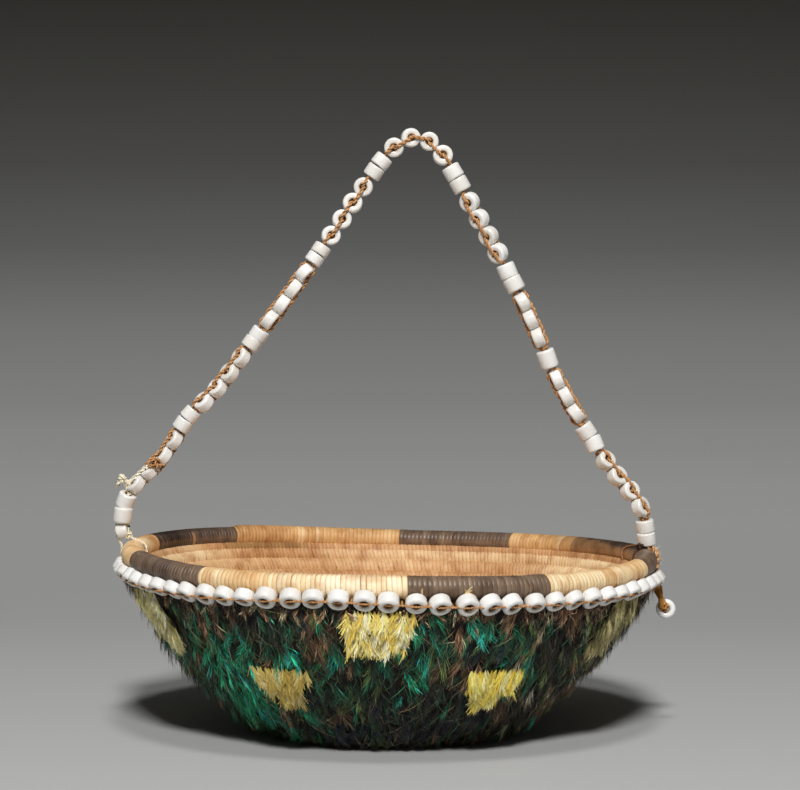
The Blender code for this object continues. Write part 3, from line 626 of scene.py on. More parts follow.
def ring_stitch_tree():
    """A stitch that goes right round a coil, which runs along Z, and keeps how far out its points are."""
    tree, sockets = start_tree("ring_stitch", ("Radius", "Width", "Thickness"))
    links = {"Resolution": RING_STITCH_STEPS, "Radius": sockets["Radius"]}
    ring = add(tree, "GeometryNodeCurvePrimitiveCircle", links)["Curve"]
    strip = stitch_strip(tree, sockets, ring)
    side = add(tree, MATHS, {0: own_place(tree)["X"], 1: sockets["Radius"]}, operation="DIVIDE")["Value"]
    half = add(tree, MATHS, {0: side, 1: 0.5}, operation="MULTIPLY")["Value"]
    share = add(tree, MATHS, {0: half, 1: 0.5}, operation="ADD")["Value"]
    shape = add(tree, STORE, {"Geometry": strip, "Name": "outer_side", "Value": share})["Geometry"]
    return end_tree(tree, sockets, shape)


def arc_stitch_tree():
    """A stitch over the open side of a coil, which runs along Z. The side it shows faces X."""
    tree, sockets = start_tree("arc_stitch", ("Radius", "Width", "Thickness", "Sweep"))
    start = add(tree, MATHS, {0: sockets["Sweep"], 1: -0.5}, operation="MULTIPLY")["Value"]
    arc = add(tree, "GeometryNodeCurveArc", {
        "Resolution": ARC_STITCH_STEPS,
        "Radius": sockets["Radius"],
        "Start Angle": start,
        "Sweep Angle": sockets["Sweep"],
    })["Curve"]
    return end_tree(tree, sockets, stitch_strip(tree, sockets, arc))


def bead_tree():
    """A bead round Z: a thick ring with fire-rounded edges, which keeps how far a point is from its bore."""
    tree, sockets = start_tree("bead", ("Diameter", "Bore", "Length", "Edge"))
    outer = add(tree, MATHS, {0: sockets["Diameter"], 1: 0.5}, operation="MULTIPLY")["Value"]
    inner = add(tree, MATHS, {0: sockets["Bore"], 1: 0.5}, operation="MULTIPLY")["Value"]
    wall = add(tree, MATHS, {0: outer, 1: inner}, operation="SUBTRACT")["Value"]
    both = add(tree, MATHS, {0: outer, 1: inner}, operation="ADD")["Value"]
    middle = add(tree, MATHS, {0: both, 1: 0.5}, operation="MULTIPLY")["Value"]
    links = {"Width": wall, "Height": sockets["Length"]}
    section = add(tree, "GeometryNodeCurvePrimitiveQuadrilateral", links)["Curve"]
    links = {"Curve": section, "Count": BEAD_EDGE_STEPS, "Radius": sockets["Edge"]}
    rounded = add(tree, "GeometryNodeFilletCurve", links, mode="POLY")["Curve"]
    links = {"Resolution": BEAD_STEPS, "Radius": middle}
    ring = add(tree, "GeometryNodeCurvePrimitiveCircle", links)["Curve"]
    glass = add(tree, "GeometryNodeCurveToMesh", {"Curve": ring, "Profile Curve": rounded})["Mesh"]
    place = own_place(tree)
    across = add(tree, MATHS, {0: place["X"], 1: 2.0}, operation="POWER")["Value"]
    back = add(tree, MATHS, {0: place["Y"], 1: 2.0}, operation="POWER")["Value"]
    square = add(tree, MATHS, {0: across, 1: back}, operation="ADD")["Value"]
    radius = add(tree, MATHS, {0: square}, operation="SQRT")["Value"]
    links = {"Value": radius, "From Min": inner, "From Max": outer}
    share = add(tree, "ShaderNodeMapRange", links)["Result"]
    shape = add(tree, STORE, {"Geometry": glass, "Name": "from_bore", "Value": share})["Geometry"]
    return end_tree(tree, sockets, shape)


def barb_tree():
    """A feather barb or a loose fibre of unit length along X: a tapering strip, curled as its place says."""
    tree, sockets = start_tree("barb", ("Taper",))
    links = {"Size X": 1.0, "Size Y": 1.0, "Vertices X": BARB_STEPS, "Vertices Y": 2}
    strip = add(tree, "GeometryNodeMeshGrid", links)["Mesh"]
    place = own_place(tree)
    reach = add(tree, MATHS, {0: place["X"], 1: 0.5}, operation="ADD")["Value"]
    kept = add(tree, STORE, {"Geometry": strip, "Name": "reach", "Value": reach})["Geometry"]
    narrower = add(tree, MATHS, {0: reach, 1: sockets["Taper"]}, operation="MULTIPLY")["Value"]
    width = add(tree, MATHS, {0: 1.0, 1: narrower}, operation="SUBTRACT")["Value"]
    side = add(tree, MATHS, {0: place["Y"], 1: width}, operation="MULTIPLY")["Value"]
    shaped = add(tree, "ShaderNodeCombineXYZ", {"X": reach, "Y": side, "Z": 0.0})["Vector"]
    shape = add(tree, "GeometryNodeSetPosition", {"Geometry": kept, "Position": shaped})["Geometry"]
    return end_tree(tree, sockets, shape, curled=True)


class Places:
    """Points for a repeated shape, each with its directions, size and colour."""

    def __init__(self):
        self.points = []
        self.facing = []
        self.run = []
        self.size = []
        self.tone = []
        self.tint = []
        self.curl = []

    def put(self, point, facing, run, size=(1, 1, 1), tone=0.5, tint=(1, 1, 1), curl=(0, 0, 0)):
        """Adds a place, with the shape's Z along facing and its X along run."""
        self.points.append(tuple(point))
        self.facing.append(tuple(facing))
        self.run.append(tuple(run))
        self.size.append(size)
        self.tone.append(tone)
        self.tint.append((*tint, 1.0))
        self.curl.append(tuple(curl))

    def made(self, name, tree, material, **sizes):
        """The shape on every place as one plain mesh."""
        source = mesh_piece(name + "_places", self.points, [], None, (
            ("facing", "FLOAT_VECTOR", self.facing),
            ("run", "FLOAT_VECTOR", self.run),
            ("size", "FLOAT_VECTOR", self.size),
            ("tone", "FLOAT", self.tone),
            ("tint", "FLOAT_COLOR", self.tint),
            ("curl", "FLOAT_VECTOR", self.curl),
        ))
        modifier = source.modifiers.new("shape", "NODES")
        modifier.node_group = tree
        for item in tree.interface.items_tree:
            if item.in_out == "INPUT" and item.name in sizes:
                modifier[item.identifier] = sizes[item.name]
            if item.in_out == "INPUT" and item.name == "Material":
                modifier[item.identifier] = material
        graph = bpy.context.evaluated_depsgraph_get()
        mesh = bpy.data.meshes.new_from_object(source.evaluated_get(graph))
        source.modifiers.remove(modifier)
        bpy.data.objects.remove(source)
        mesh.name = name
        made = bpy.data.objects.new(name, mesh)
        bpy.context.scene.collection.objects.link(made)
        return made


# The rim's and the wall's own frames, as in the model


def rim_rise(angle):
    """How much higher the rim is at an angle: most at the left end, and lowest at the near quarters."""
    mean = (RIM_LEFT_RISE + RIM_RIGHT_RISE) / 2
    lean = (RIM_LEFT_RISE - RIM_RIGHT_RISE) / 2
    quarters = math.sin(2 * angle) ** 2
    if math.sin(angle) < 0.0:
        quarters *= -NEAR_QUARTERS_DROP
    else:
        quarters *= FAR_LEFT_RISE if math.cos(angle) < 0.0 else 0.0
    return mean * math.cos(angle) ** 2 - lean * math.cos(angle) + quarters


def outward(angle):
    """The level direction out of the bowl at an angle."""
    return Vector((math.cos(angle), math.sin(angle), 0.0))


def rim_middle(angle):
    """The middle of the rim coil at an angle."""
    return outward(angle) * RIM_RADIUS + UP * (RIM_HEIGHT + rim_rise(angle))


def from_front(degrees):
    """The angle round the bowl, in radians, that a front angle stands for."""
    return math.radians(degrees - 90.0)


def front_degrees(angle):
    """The front angle, from -180 to 180 degrees, of an angle round the bowl."""
    return (math.degrees(angle) + 90.0 + 180.0) % 360.0 - 180.0


def clamped(value):
    """The value, held between 0 and 1."""
    return min(max(value, 0.0), 1.0)


def uneven(level, places, degrees):
    """A level that is higher or lower near some front angles."""
    for centre, spread, more in places:
        level += more * math.exp(-(((degrees - centre) / spread) ** 2))
    return level


def walk(points, distance):
    """The place and the direction at this distance along a line of points."""
    for start, end in zip(points, points[1:]):
        step = (end - start).length
        direction = (end - start) / step
        if distance <= step:
            return start + direction * distance, direction
        distance -= step
    return points[-1] + direction * distance, direction


def line_length(points):
    return sum((end - start).length for start, end in zip(points, points[1:]))


def wall_line():
    """The wall's middle line from the rim down to the base, as (radius, height) points."""
    top_run = Vector((math.cos(math.radians(RIM_SLOPE)), math.sin(math.radians(RIM_SLOPE))))
    base_run = Vector((math.cos(math.radians(BASE_SLOPE)), math.sin(math.radians(BASE_SLOPE))))
    top = Vector((RIM_RADIUS, RIM_HEIGHT)) - top_run * (RIM_COIL / 2 + CORD_CLEARANCE)
    base = Vector((BASE_RADIUS, WALL_THICKNESS / 2))
    reach = (top - base).cross(top_run) / base_run.cross(top_run)
    belly = base + base_run * reach
    line = []
    samples = 8 * WALL_ROWS
    for k in range(samples + 1):
        t = k / samples
        line.append(top * (1 - t) ** 2 + belly * 2 * t * (1 - t) + base * t**2)
    return line


WALL_LINE = wall_line()
WALL_LENGTH = line_length(WALL_LINE)
ROW_PITCH = WALL_LENGTH / WALL_ROWS
ROW_RADIUS = ROW_PITCH * ROW_ARC


def wall_place(distance, offset):
    """The (radius, height) this far down the wall from the rim, and this far outside its middle."""
    place, down = walk(WALL_LINE, distance)
    return place + Vector((-down.y, down.x)) * offset


def on_bowl(place, angle):
    """A (radius, height) of the bowl as a place, with the rise of the rim above it."""
    height = place.y + rim_rise(angle) * place.y / RIM_HEIGHT
    return outward(angle) * place.x + UP * height


def wall_directions(distance, angle):
    """Down the wall, out of the wall and round it, at a place on the bowl."""
    _, down = walk(WALL_LINE, distance)
    out = outward(angle)
    below = out * down.x + UP * down.y
    away = out * -down.y + UP * down.x
    return below, away, UP.cross(out)


def turned(name, profile, material):
    """A solid turned round the bowl's axis from a closed profile of (radius, height)."""
    points = []
    for k in range(BOWL_STEPS):
        points += [on_bowl(place, math.tau * k / BOWL_STEPS) for place in profile]
    count = len(profile)
    faces = []
    for k in range(BOWL_STEPS):
        here = k * count
        there = (k + 1) % BOWL_STEPS * count
        for j in range(count):
            after = (j + 1) % count
            faces.append((here + j, there + j, there + after, here + after))
    return mesh_piece(name, points, faces, material)


# Bowl


def coil_middles():
    """The middle of each coil and the way down the wall there, from under the rim to the floor's middle."""
    found = [walk(WALL_LINE, (row + 0.5) * ROW_PITCH) for row in range(WALL_ROWS)]
    step = BASE_RADIUS / FLOOR_ROWS
    for row in range(FLOOR_ROWS):
        radius = BASE_RADIUS - (row + 0.5) * step
        found.append((Vector((radius, WALL_THICKNESS / 2)), Vector((-1.0, 0.0))))
    return found


def bowl_core(material):
    """The rods of the coils inside and the flat base: what shows between the stitches."""
    relief = ROW_PITCH * (ROW_ARC - math.sqrt(ROW_ARC**2 - 0.25))
    inner = []
    for place, down in coil_middles():
        inside = Vector((down.y, -down.x))
        for along in (-0.45, -0.15, 0.15, 0.45):
            depth = WALL_INSIDE - RODS_DEPTH - relief * (2 * along) ** 2
            spot = place + down * ROW_PITCH * along + inside * depth
            if spot.x > 0.4 * MM:
                inner.append(spot)
    outer = [wall_place(WALL_LENGTH * k / 24, WALL_THICKNESS / 2 - 0.1 * MM) for k in range(25)]
    base = [Vector((BASE_RADIUS - 3 * k * MM, BASE_LIFT)) for k in range(9)]
    middle = [Vector((0.3 * MM, BASE_LIFT)), Vector((0.3 * MM, 2.6 * MM))]
    profile = outer + base + middle + inner[::-1]
    return turned("bowl_coils", profile[::-1], material)


def inner_tone(degrees, row):
    """Painted shadow under the far left of the rim, and painted light low at both ends."""
    painted_shadow = uneven(0.0, INNER_PAINTED_SHADOW, degrees) if row < 1 else 0.0
    painted_light = uneven(0.0, INNER_PAINTED_LIGHT, abs(degrees))
    return painted_shadow + (painted_light if row > -1 else 0.375 * painted_light)


def inner_stitches(first, last, name, tree, material):
    """The stitches of some of the coils inside, each leaning a little as the sewing went round."""
    rng = np.random.default_rng(11 + first)
    places = Places()
    sunk = ROW_RADIUS - WALL_INSIDE + STITCH_THICKNESS / 2
    rows = list(enumerate(coil_middles()))[first:last]
    if first == 0:
        rows.insert(0, (-1, walk(WALL_LINE, 0.0)))
    for row, (place, down) in rows:
        count = max(7, round(math.tau * place.x / STITCH_PITCH))
        start = rng.uniform(0.0, math.tau)
        row_tone = 0.5 + 0.22 * math.sin(2.1 * row + 1.0)
        middle = place + Vector((-down.y, down.x)) * sunk
        for k in range(count):
            angle = start + math.tau * (k + rng.normal(0.0, 0.03)) / count
            out = outward(angle)
            inside = out * down.y - UP * down.x
            below = out * down.x + UP * down.y
            lean = math.radians(INNER_STITCH_LEAN + rng.normal(0.0, 2.5))
            facing = UP.cross(out) * math.cos(lean) + below * math.sin(lean)
            blotch = noise.noise(out * 2.3 + Vector((0.0, 0.0, row * 0.6)))
            tone = row_tone + 0.35 * blotch + rng.normal(0.0, 0.05) + inner_tone(front_degrees(angle), row)
            scale = 1.0 + rng.normal(0.0, 0.008)
            places.put(on_bowl(middle, angle), facing, inside, (scale, scale, 1.0), clamped(tone))
    return places.made(
        name, tree, material, Radius=ROW_RADIUS, Width=STITCH_WIDTH,
        Thickness=STITCH_THICKNESS, Sweep=2 * math.asin(ROW_ARC_REACH / ROW_ARC),
    )


def rim_core(material):
    """The rods in the rim's coil: what shows between its stitches."""
    angles = np.linspace(0.0, math.tau, RIM_STEPS, endpoint=False)
    points = np.array([tuple(rim_middle(angle)) for angle in angles])
    across = np.array([tuple(outward(angle)) for angle in angles])
    up = np.tile((0.0, 0.0, 1.0), (RIM_STEPS, 1))
    rings = tube_rings(points, across, up, np.full(RIM_STEPS, RIM_COIL / 2 - RODS_DEPTH), ROD_SIDES)
    faces = tube_faces(RIM_STEPS, ROD_SIDES, True)
    return mesh_piece("rim_core", rings.reshape(-1, 3), [face[::-1] for face in faces], material)


def is_dark(degrees):
    """Whether the rim's stitches are of dyed root at this front angle."""
    marks = sorted(RIM_STITCH_MARKS)
    passed = sum(degrees >= mark for mark in marks)
    return passed % 2 == 1


def coil_end_rise(angle):
    """How much the coil's tapering end lifts the stitches at this angle."""
    share = (COIL_END_START - math.degrees(angle)) / (COIL_END_START - COIL_END_STOP)
    if not 0.0 < share < 1.0:
        return 0.0
    start = min(1.0, share / 0.06)
    return (COIL_END_THICK + (COIL_END_THIN - COIL_END_THICK) * share) * start


def rim_tone(degrees):
    """How pale the plain stitches are: palest in front, stained where the coil's end starts."""
    far = FAR_RIM_STAIN if abs(degrees) > 100.0 else 0.0
    return uneven(PLAIN_TONE, PLAIN_TONES, degrees) - far


def dye_gone(degrees):
    """How far up the inner side of a dyed stitch its dye has gone: most at the far right's end."""
    if BARE_STITCH[0] < degrees < BARE_STITCH[1]:
        return 0.2
    if not FADED_FROM < degrees < FADED_TO:
        return 0.0
    more = 0.4 * max((degrees - MORE_FADED_FROM) / 18.0, 0.0)
    return 0.14 * min((degrees - FADED_FROM) / 12.0, 1.0) + more


def rim_stitches(tree, dark, light):
    """Stitches round the rim coil: dyed and plain root by turns, and those over the coil's end."""
    rng = np.random.default_rng(5)
    kinds = {"dark": Places(), "light": Places(), "end": Places()}
    for k in range(RIM_STITCHES):
        angle = math.tau * (k + rng.normal(0.0, 0.03)) / RIM_STITCHES
        degrees = front_degrees(angle)
        along = rim_middle(angle + 0.01) - rim_middle(angle - 0.01)
        along.normalize()
        lean = math.radians(uneven(STITCH_LEAN, STITCH_LEANS, degrees) + rng.normal(0.0, 1.2))
        facing = along * math.cos(lean) + UP * math.sin(lean)
        scale = 1.0 + rng.normal(0.0, 0.006)
        if PROUD_STITCHES[0] < degrees < PROUD_STITCHES[1]:
            scale += 0.05
        rise = coil_end_rise(angle)
        tall = scale + rise / RIM_COIL
        width = 1.0 + rng.normal(0.0, 0.03)
        blotch = noise.noise(outward(angle) * 3.1)
        level = uneven(DYED_TONE, DYED_TONES, degrees) if is_dark(degrees) else rim_tone(degrees)
        tone = level + 0.3 * blotch + rng.normal(0.0, 0.07)
        if rng.uniform() < 0.02:
            tone += 0.25
        gone = dye_gone(degrees) * rng.uniform(0.7, 1.15)
        place = rim_middle(angle) + (UP - 0.4 * outward(angle)) * rise / 2
        kind = "dark" if is_dark(degrees) else "end" if rise else "light"
        size = (scale, tall, width)
        kinds[kind].put(place, facing, outward(angle), size, clamped(tone), (gone, gone, gone))
    return [
        places.made(
            f"rim_stitches_{kind}", tree, dark if kind == "dark" else light,
            Radius=(RIM_COIL - STITCH_THICKNESS) / 2, Width=STITCH_WIDTH, Thickness=STITCH_THICKNESS,
        )
        for kind, places in kinds.items()
    ]


def rim_straws(tree, material):
    """A short pale stitch over the dark section in front, and a broken end of root beside it."""
    rng = np.random.default_rng(8)
    straws = Places()
    pale = linear("#E8CFA0")
    stitch = from_front(OVER_STITCH_ANGLE)
    flank = outward(stitch) * math.cos(0.35) - UP * math.sin(0.35)
    start = rim_middle(stitch) + flank * (RIM_COIL / 2 + 0.12 * MM) + UP * 1.1 * MM
    for _ in range(3):
        put_barb(straws, start, Vector((0.0, -0.12, -1.0)), FRONT, 2.1 * MM, 0.5 * MM, pale, Vector())
    broken = from_front(BROKEN_ROOT_ANGLE)
    flank = outward(broken) * math.cos(0.2) - UP * math.sin(0.2)
    start = rim_middle(broken) + flank * (RIM_COIL / 2 + 0.1 * MM)
    for _ in range(7):
        aim = Vector((rng.normal(0.3, 0.5), -0.5, rng.normal(-0.2, 0.6)))
        put_barb(straws, start, aim, FRONT, rng.uniform(1.0, 2.2) * MM, 0.3 * MM, pale, Vector())
    return straws.made("rim_straws", tree, material, Taper=0.4)


# Beads and cords


def row_slip(degrees):
    """How much lower the row hangs just right of the front and at the right end, under the foot."""
    share = degrees / ROW_SLIP_ANGLE
    front = ROW_SLIP * share * math.exp(0.5 - 0.5 * share**2)
    return uneven(front, ROW_DROPS, degrees)


def row_bead_frame(angle):
    """The middle of the row's bead at an angle, and the way its mouth points."""
    share = math.cos(angle) ** 2
    drop = math.radians(ROW_DROP_FRONT + (ROW_DROP_SIDE - ROW_DROP_FRONT) * share)
    axis = outward(angle) * math.cos(drop) - UP * math.sin(drop)
    reach = RIM_COIL / 2 + ROW_BEAD_STANDOFF + ROW_BEAD_LENGTH / 2
    return rim_middle(angle) + axis * reach - UP * row_slip(front_degrees(angle)), axis


def row_angles():
    """The angles of the row's beads round the bowl."""
    return [math.tau * (k + 0.5) / ROW_BEADS for k in range(ROW_BEADS)]


def turned_slightly(direction, rng, degrees):
    """The direction with a small seeded tilt."""
    nudge = Vector(rng.normal(0.0, math.tan(math.radians(degrees)), 3))
    return (direction + nudge).normalized()


def rim_beads(tree, material):
    """The row of beads, each a little off the rule in place, tilt, size and tone."""
    rng = np.random.default_rng(21)
    places = Places()
    for angle in row_angles():
        middle, axis = row_bead_frame(angle + rng.normal(0.0, 0.004))
        axis = turned_slightly(axis, rng, BEAD_TILT)
        wide = 1.0 + rng.normal(0.0, 0.035)
        long = 1.0 + rng.normal(0.0, 0.06)
        tone = float(rng.uniform(0.2, 0.8))
        places.put(middle, axis, UP.cross(outward(angle)), (wide, wide, long), tone)
    return places.made(
        "rim_beads", tree, material, Diameter=ROW_BEAD_DIAMETER, Bore=ROW_BEAD_BORE,
        Length=ROW_BEAD_LENGTH, Edge=ROW_BEAD_EDGE,
    )


def mouth_place(angle, out, up):
    """A place at a row bead's mouth: this far out of it, and this far above its middle."""
    middle, axis = row_bead_frame(angle)
    above = UP.cross(outward(angle)).cross(axis)
    return middle + axis * (ROW_BEAD_LENGTH / 2 + out) + above * up


def rim_cord(material):
    """The cord that sews the row on: over the lower half of each mouth, and back a little between."""
    route = []
    for angle in row_angles():
        route.append(mouth_place(angle, 0.12 * MM, -0.6 * MM))
        route.append(mouth_place(angle + math.pi / ROW_BEADS, -0.15 * MM, -0.7 * MM))
    return two_ply("rim_bead_cord", route, ROW_CORD, material, lay=2.8, closed=True)


def plain_cords(name, routes, thickness, material):
    """Short round cords along these routes, as one piece."""
    points = []
    faces = []
    for route in routes:
        line = evenly(smooth_points(np.array([tuple(p) for p in route])), 0.4 * MM)
        _, across, over = carried_frames(line, False)
        rings = tube_rings(line, across, over, np.full(len(line), thickness / 2), 6)
        faces += tube_faces(len(line), 6, False, len(points))
        points += rings.reshape(-1, 3).tolist()
    return mesh_piece(name, points, faces, material)


def bore_cords(material):
    """The strand that comes out of each mouth and goes round the running cord, and the one that
    ties the running cord down between two beads."""
    routes = []
    for angle in row_angles():
        routes.append([
            mouth_place(angle, -ROW_BEAD_LENGTH, 0.0),
            mouth_place(angle, -1.0 * MM, 0.0),
            mouth_place(angle, -0.3 * MM, -0.3 * MM),
            mouth_place(angle, 0.0, -0.65 * MM),
        ])
        between = angle + math.pi / ROW_BEADS
        routes.append([
            mouth_place(between, -ROW_BEAD_LENGTH, 1.2 * MM),
            mouth_place(between, -1.2 * MM, 0.5 * MM),
            mouth_place(between, -0.1 * MM, -0.7 * MM),
        ])
    return plain_cords("rim_bead_stitches", routes, 0.5 * MM, material)


class Bead:
    """One bead of the handle string."""

    def __init__(self, kind, diameter, length, turn, reach):
        self.kind = kind
        self.diameter = diameter
        self.length = length
        self.turn = math.radians(turn)
        self.half = reach / 2

    def seat(self, line, distance):
        """Puts the bead this far along a line, and finds its own directions there."""
        self.middle, self.along = walk(line, distance)
        outside = Vector((-self.along.z, 0.0, self.along.x))
        self.cross = outside * math.cos(self.turn) + FRONT * math.sin(self.turn)
        self.side = self.along.cross(self.cross)

    def place(self, along, cross, side):
        """A place this far from the bead's middle in each of its own directions."""
        return self.middle + self.along * along + self.cross * cross + self.side * side


def string_of_beads():
    """The handle's beads in order."""
    beads = []
    for k, (count, turn) in enumerate(CROSS_RUNS):
        diameter = CROSS_BEAD_DIAMETER if k else FOOT_BEAD_DIAMETER
        beads += [Bead("cross", diameter, CROSS_BEAD_LENGTH, turn, diameter) for _ in range(count)]
        next_turn = CROSS_RUNS[min(k + 1, len(CROSS_RUNS) - 1)][1]
        mean_turn = (turn + next_turn) / 2
        length = PAIR_LENGTHS[k] * MM
        lengths = (length, length) if length else (LONG_BEAD_LENGTH,)
        beads += [Bead("axial", PAIR_BEAD_DIAMETER, size, mean_turn, size) for size in lengths]
    return beads


def bead_distances(beads):
    """How far along the string each bead is. Where its beads turn, a bead keeps the gap after it."""
    distances = [0.0]
    for k, (bead, after) in enumerate(zip(beads, beads[1:])):
        bead.gap = TURN_GAP * (1 + GAP_GROWTH * k / len(beads))
        if bead.kind == after.kind:
            bead.gap = 0.0
        distances.append(distances[-1] + bead.half + bead.gap + after.half)
    return distances


def tie_outside():
    """How far a tie's outer side is from the middle of the rim coil."""
    return RIM_COIL / 2 + CORD_CLEARANCE + MODEL_CORD


def left_foot():
    """The middle of the bead that stands on the left tie."""
    reach = tie_outside() + CORD_CLEARANCE + FOOT_BEAD_DIAMETER / 2
    rise = math.sqrt(reach**2 - LEFT_FOOT_OFFSET**2)
    middle = rim_middle(math.pi)
    return Vector((middle.x - LEFT_FOOT_OFFSET, 0.0, middle.z + rise))


def right_foot():
    """The middle of the bead over the right tie."""
    middle = rim_middle(0.0)
    return Vector((middle.x + RIGHT_FOOT_OFFSET, 0.0, middle.z + RIGHT_FOOT_RISE))


def smooth_line(points, samples):
    """Points along a smooth curve through the given ones."""
    ends = [2 * points[0] - points[1], *points, 2 * points[-1] - points[-2]]
    line = []
    for a, b, c, d in zip(ends, ends[1:], ends[2:], ends[3:]):
        for k in range(samples):
            t = k / samples
            bend = (c - a) * t + (2 * a - 5 * b + 4 * c - d) * t**2 + (3 * b - a - 3 * c + d) * t**3
            line.append(b + bend / 2)
    return [*line, points[-1]]


def handle_line(stretch):
    """The handle's route between its feet, with its heights stretched by this much."""
    left = left_foot()
    right = right_foot()
    drawn_span, drawn_drop = HANDLE_ROUTE[-1]
    across = (right.x - left.x) / drawn_span
    points = []
    for along, up in HANDLE_ROUTE:
        share = along / drawn_span
        rise = (up - drawn_drop * share) * MM * stretch + (right.z - left.z) * share
        points.append(Vector((left.x + along * across, 0.0, left.z + rise)))
    return smooth_line(points, 16)


def seated_beads():
    """The handle's beads on its line, stretched to just hold them, as in the model."""
    beads = string_of_beads()
    distances = bead_distances(beads)
    low, high = 0.2, 5.0
    for _ in range(50):
        stretch = (low + high) / 2
        if line_length(handle_line(stretch)) < distances[-1]:
            low = stretch
        else:
            high = stretch
    line = handle_line(stretch)
    for bead, distance in zip(beads, distances):
        bead.seat(line, distance)
    beads[-1].gap = TURN_GAP
    return beads


def handle_beads(tree, material, beads, kind, name, **sizes):
    """The handle's beads that lie across the string, or those that lie along it."""
    rng = np.random.default_rng(31)
    places = Places()
    for bead in beads:
        axis = bead.cross if bead.kind == "cross" else bead.along
        if bead is beads[0]:
            axis = axis - UP * math.tan(math.radians(FOOT_BEAD_LEAN))
        if bead in beads[1:3]:
            axis = axis + FRONT * math.tan(math.radians(FOOT_PAIR_TILT))
        if bead in beads[-2:]:
            axis = axis - FRONT * math.tan(math.radians(FOOT_PAIR_TILT))
        axis = turned_slightly(axis, rng, BEAD_TILT)
        wide = bead.diameter / sizes["Diameter"] * (1.0 + rng.normal(0.0, 0.02))
        long = bead.length / sizes["Length"] * (0.98 + rng.normal(0.0, 0.03))
        tone = float(rng.uniform(0.0, 0.85)) if rng.uniform() < 0.95 else 1.0
        if bead.kind == kind:
            places.put(bead.middle, axis, bead.side, (wide, wide, long), tone)
    return places.made(name, tree, material, Bore=BEAD_BORE, **sizes)


def gap_place(first, second, lead, cross, side):
    """A place in the gap between two beads, this far off the string in the lead bead's directions."""
    gap = first.gap / 2
    middle = first.place(first.half + gap, 0.0, 0.0) + second.place(-second.half - gap, 0.0, 0.0)
    along = (first.along + second.along).normalized()
    across = (lead.cross - along * lead.cross.dot(along)).normalized()
    return middle / 2 + across * cross + along.cross(across) * side


def handle_cord_routes(beads, hand):
    """One of the two cords, which changes sides in each bead that lies across the string: as the
    pale thread up to the brown knot, and the brown twine from there on."""
    side = hand * CORD_SPREAD / 2
    cross = hand * (CROSS_BEAD_LENGTH / 2 + 0.3 * MM)
    route = [beads[0].place(beads[0].half, cross * 0.4, side)]
    cross = -cross
    low = []
    for k, bead in enumerate(beads[1:], 1):
        if k == BROWN_KNOT_BEAD + 1:
            low = route
            route = route[-1:]
        before = beads[k - 1]
        after = beads[min(k + 1, len(beads) - 1)]
        if bead.kind == "axial":
            if before.kind == "cross":
                route.append(bead.place(-bead.half, 0.0, side))
            route.append(bead.place(bead.half, 0.0, side))
            continue
        if before.kind == "axial":
            route.append(gap_place(before, bead, bead, cross * 0.3, side))
            route.append(bead.place(-bead.half * 0.93, cross * 0.8, side))
            route.append(bead.place(-bead.half * 0.55, cross, side))
        route.append(bead.place(-0.3 * MM, cross, side))
        route.append(bead.place(0.0, cross * 0.5, side))
        cross = -cross
        route.append(bead.place(0.0, cross * 0.5, side))
        route.append(bead.place(0.3 * MM, cross, side))
        if after.kind == "axial":
            route.append(bead.place(bead.half * 0.55, cross, side))
            route.append(bead.place(bead.half * 0.93, cross * 0.8, side))
            route.append(gap_place(bead, after, bead, cross * 0.3, side))
    return low, route


# Feathers


PALETTE = {
    "emerald": "#1E9E70",
    "teal": "#168574",
    "green": "#23664A",
    "moss": "#56683A",
    "deep": "#12392A",
    "blue_black": "#131B26",
    "black": "#1E1B16",
    "brown": "#624A39",
    "rust": "#8E6A50",
    "taupe": "#95866A",
}
YELLOWS = {
    "primrose": ("#FFEE98", "#FBE47C", "#F4D868", "#FFF8CE"),
    "gold": ("#E4CC7A", "#D6BC60", "#C4A852", "#EEDDA2"),
    "lemon": ("#FFF08C", "#FCE468", "#F4D854", "#FFF6B8"),
    "khaki": ("#F0E6A4", "#F8F0B8", "#D6CA88", "#FFFCDE"),
    "olive": ("#DCD098", "#EEE4B0", "#B0A670", "#827C54"),
}
WISP_HUES = ("#A0906E", "#8C8C5C", "#6B8A62", "#BDB28C", "#6B5846", "#3F9A72")


def feather_kind(degrees, distance, height, rng):
    """Which colour a feather has, by where it grows on the bowl. Neighbours mostly match."""
    round_bowl = math.radians(degrees) * 50.0
    down = distance / MM
    bright = 0.47 + 0.85 * noise.noise(Vector((round_bowl / 6.5, down / 5.0, 0.0)))
    for centre, level, spread, deep, strength in COAT_AREAS:
        away = ((degrees - centre) / spread) ** 2 + ((height / MM - level) / deep) ** 2
        bright += strength * math.exp(-away)
    warm = noise.noise(Vector((round_bowl / 9.0, down / 6.0, 7.0)))
    top = clamped((height - 29.0 * MM) / (5.0 * MM))
    right = clamped((degrees - 10.0) / 45.0) if degrees < 150.0 else 0.5
    bright += rng.normal(0.0, 0.15) - 0.2 * right
    warm += 0.22 * top * (0.4 + 0.6 * right) + 0.1 * right + rng.normal(0.0, 0.1)
    if right > 0.5 and rng.uniform() < 0.14:
        return "taupe"
    if warm > 0.33 + 0.08 * (1.0 - right) * (1.0 - top):
        return "rust" if bright > 0.6 else "brown"
    for least, share, first, second in COAT_KINDS:
        if bright > least:
            return first if rng.uniform() < share else second
    return "blue_black" if -35.0 < degrees < 35.0 and rng.uniform() < 0.6 else "black"


def above_floor(start, step):
    """The share of a step that stays above the floor."""
    floor = 0.2 * MM
    if start.z + step.z >= floor:
        return 1.0
    return max(0.0, (start.z - floor) / -step.z)


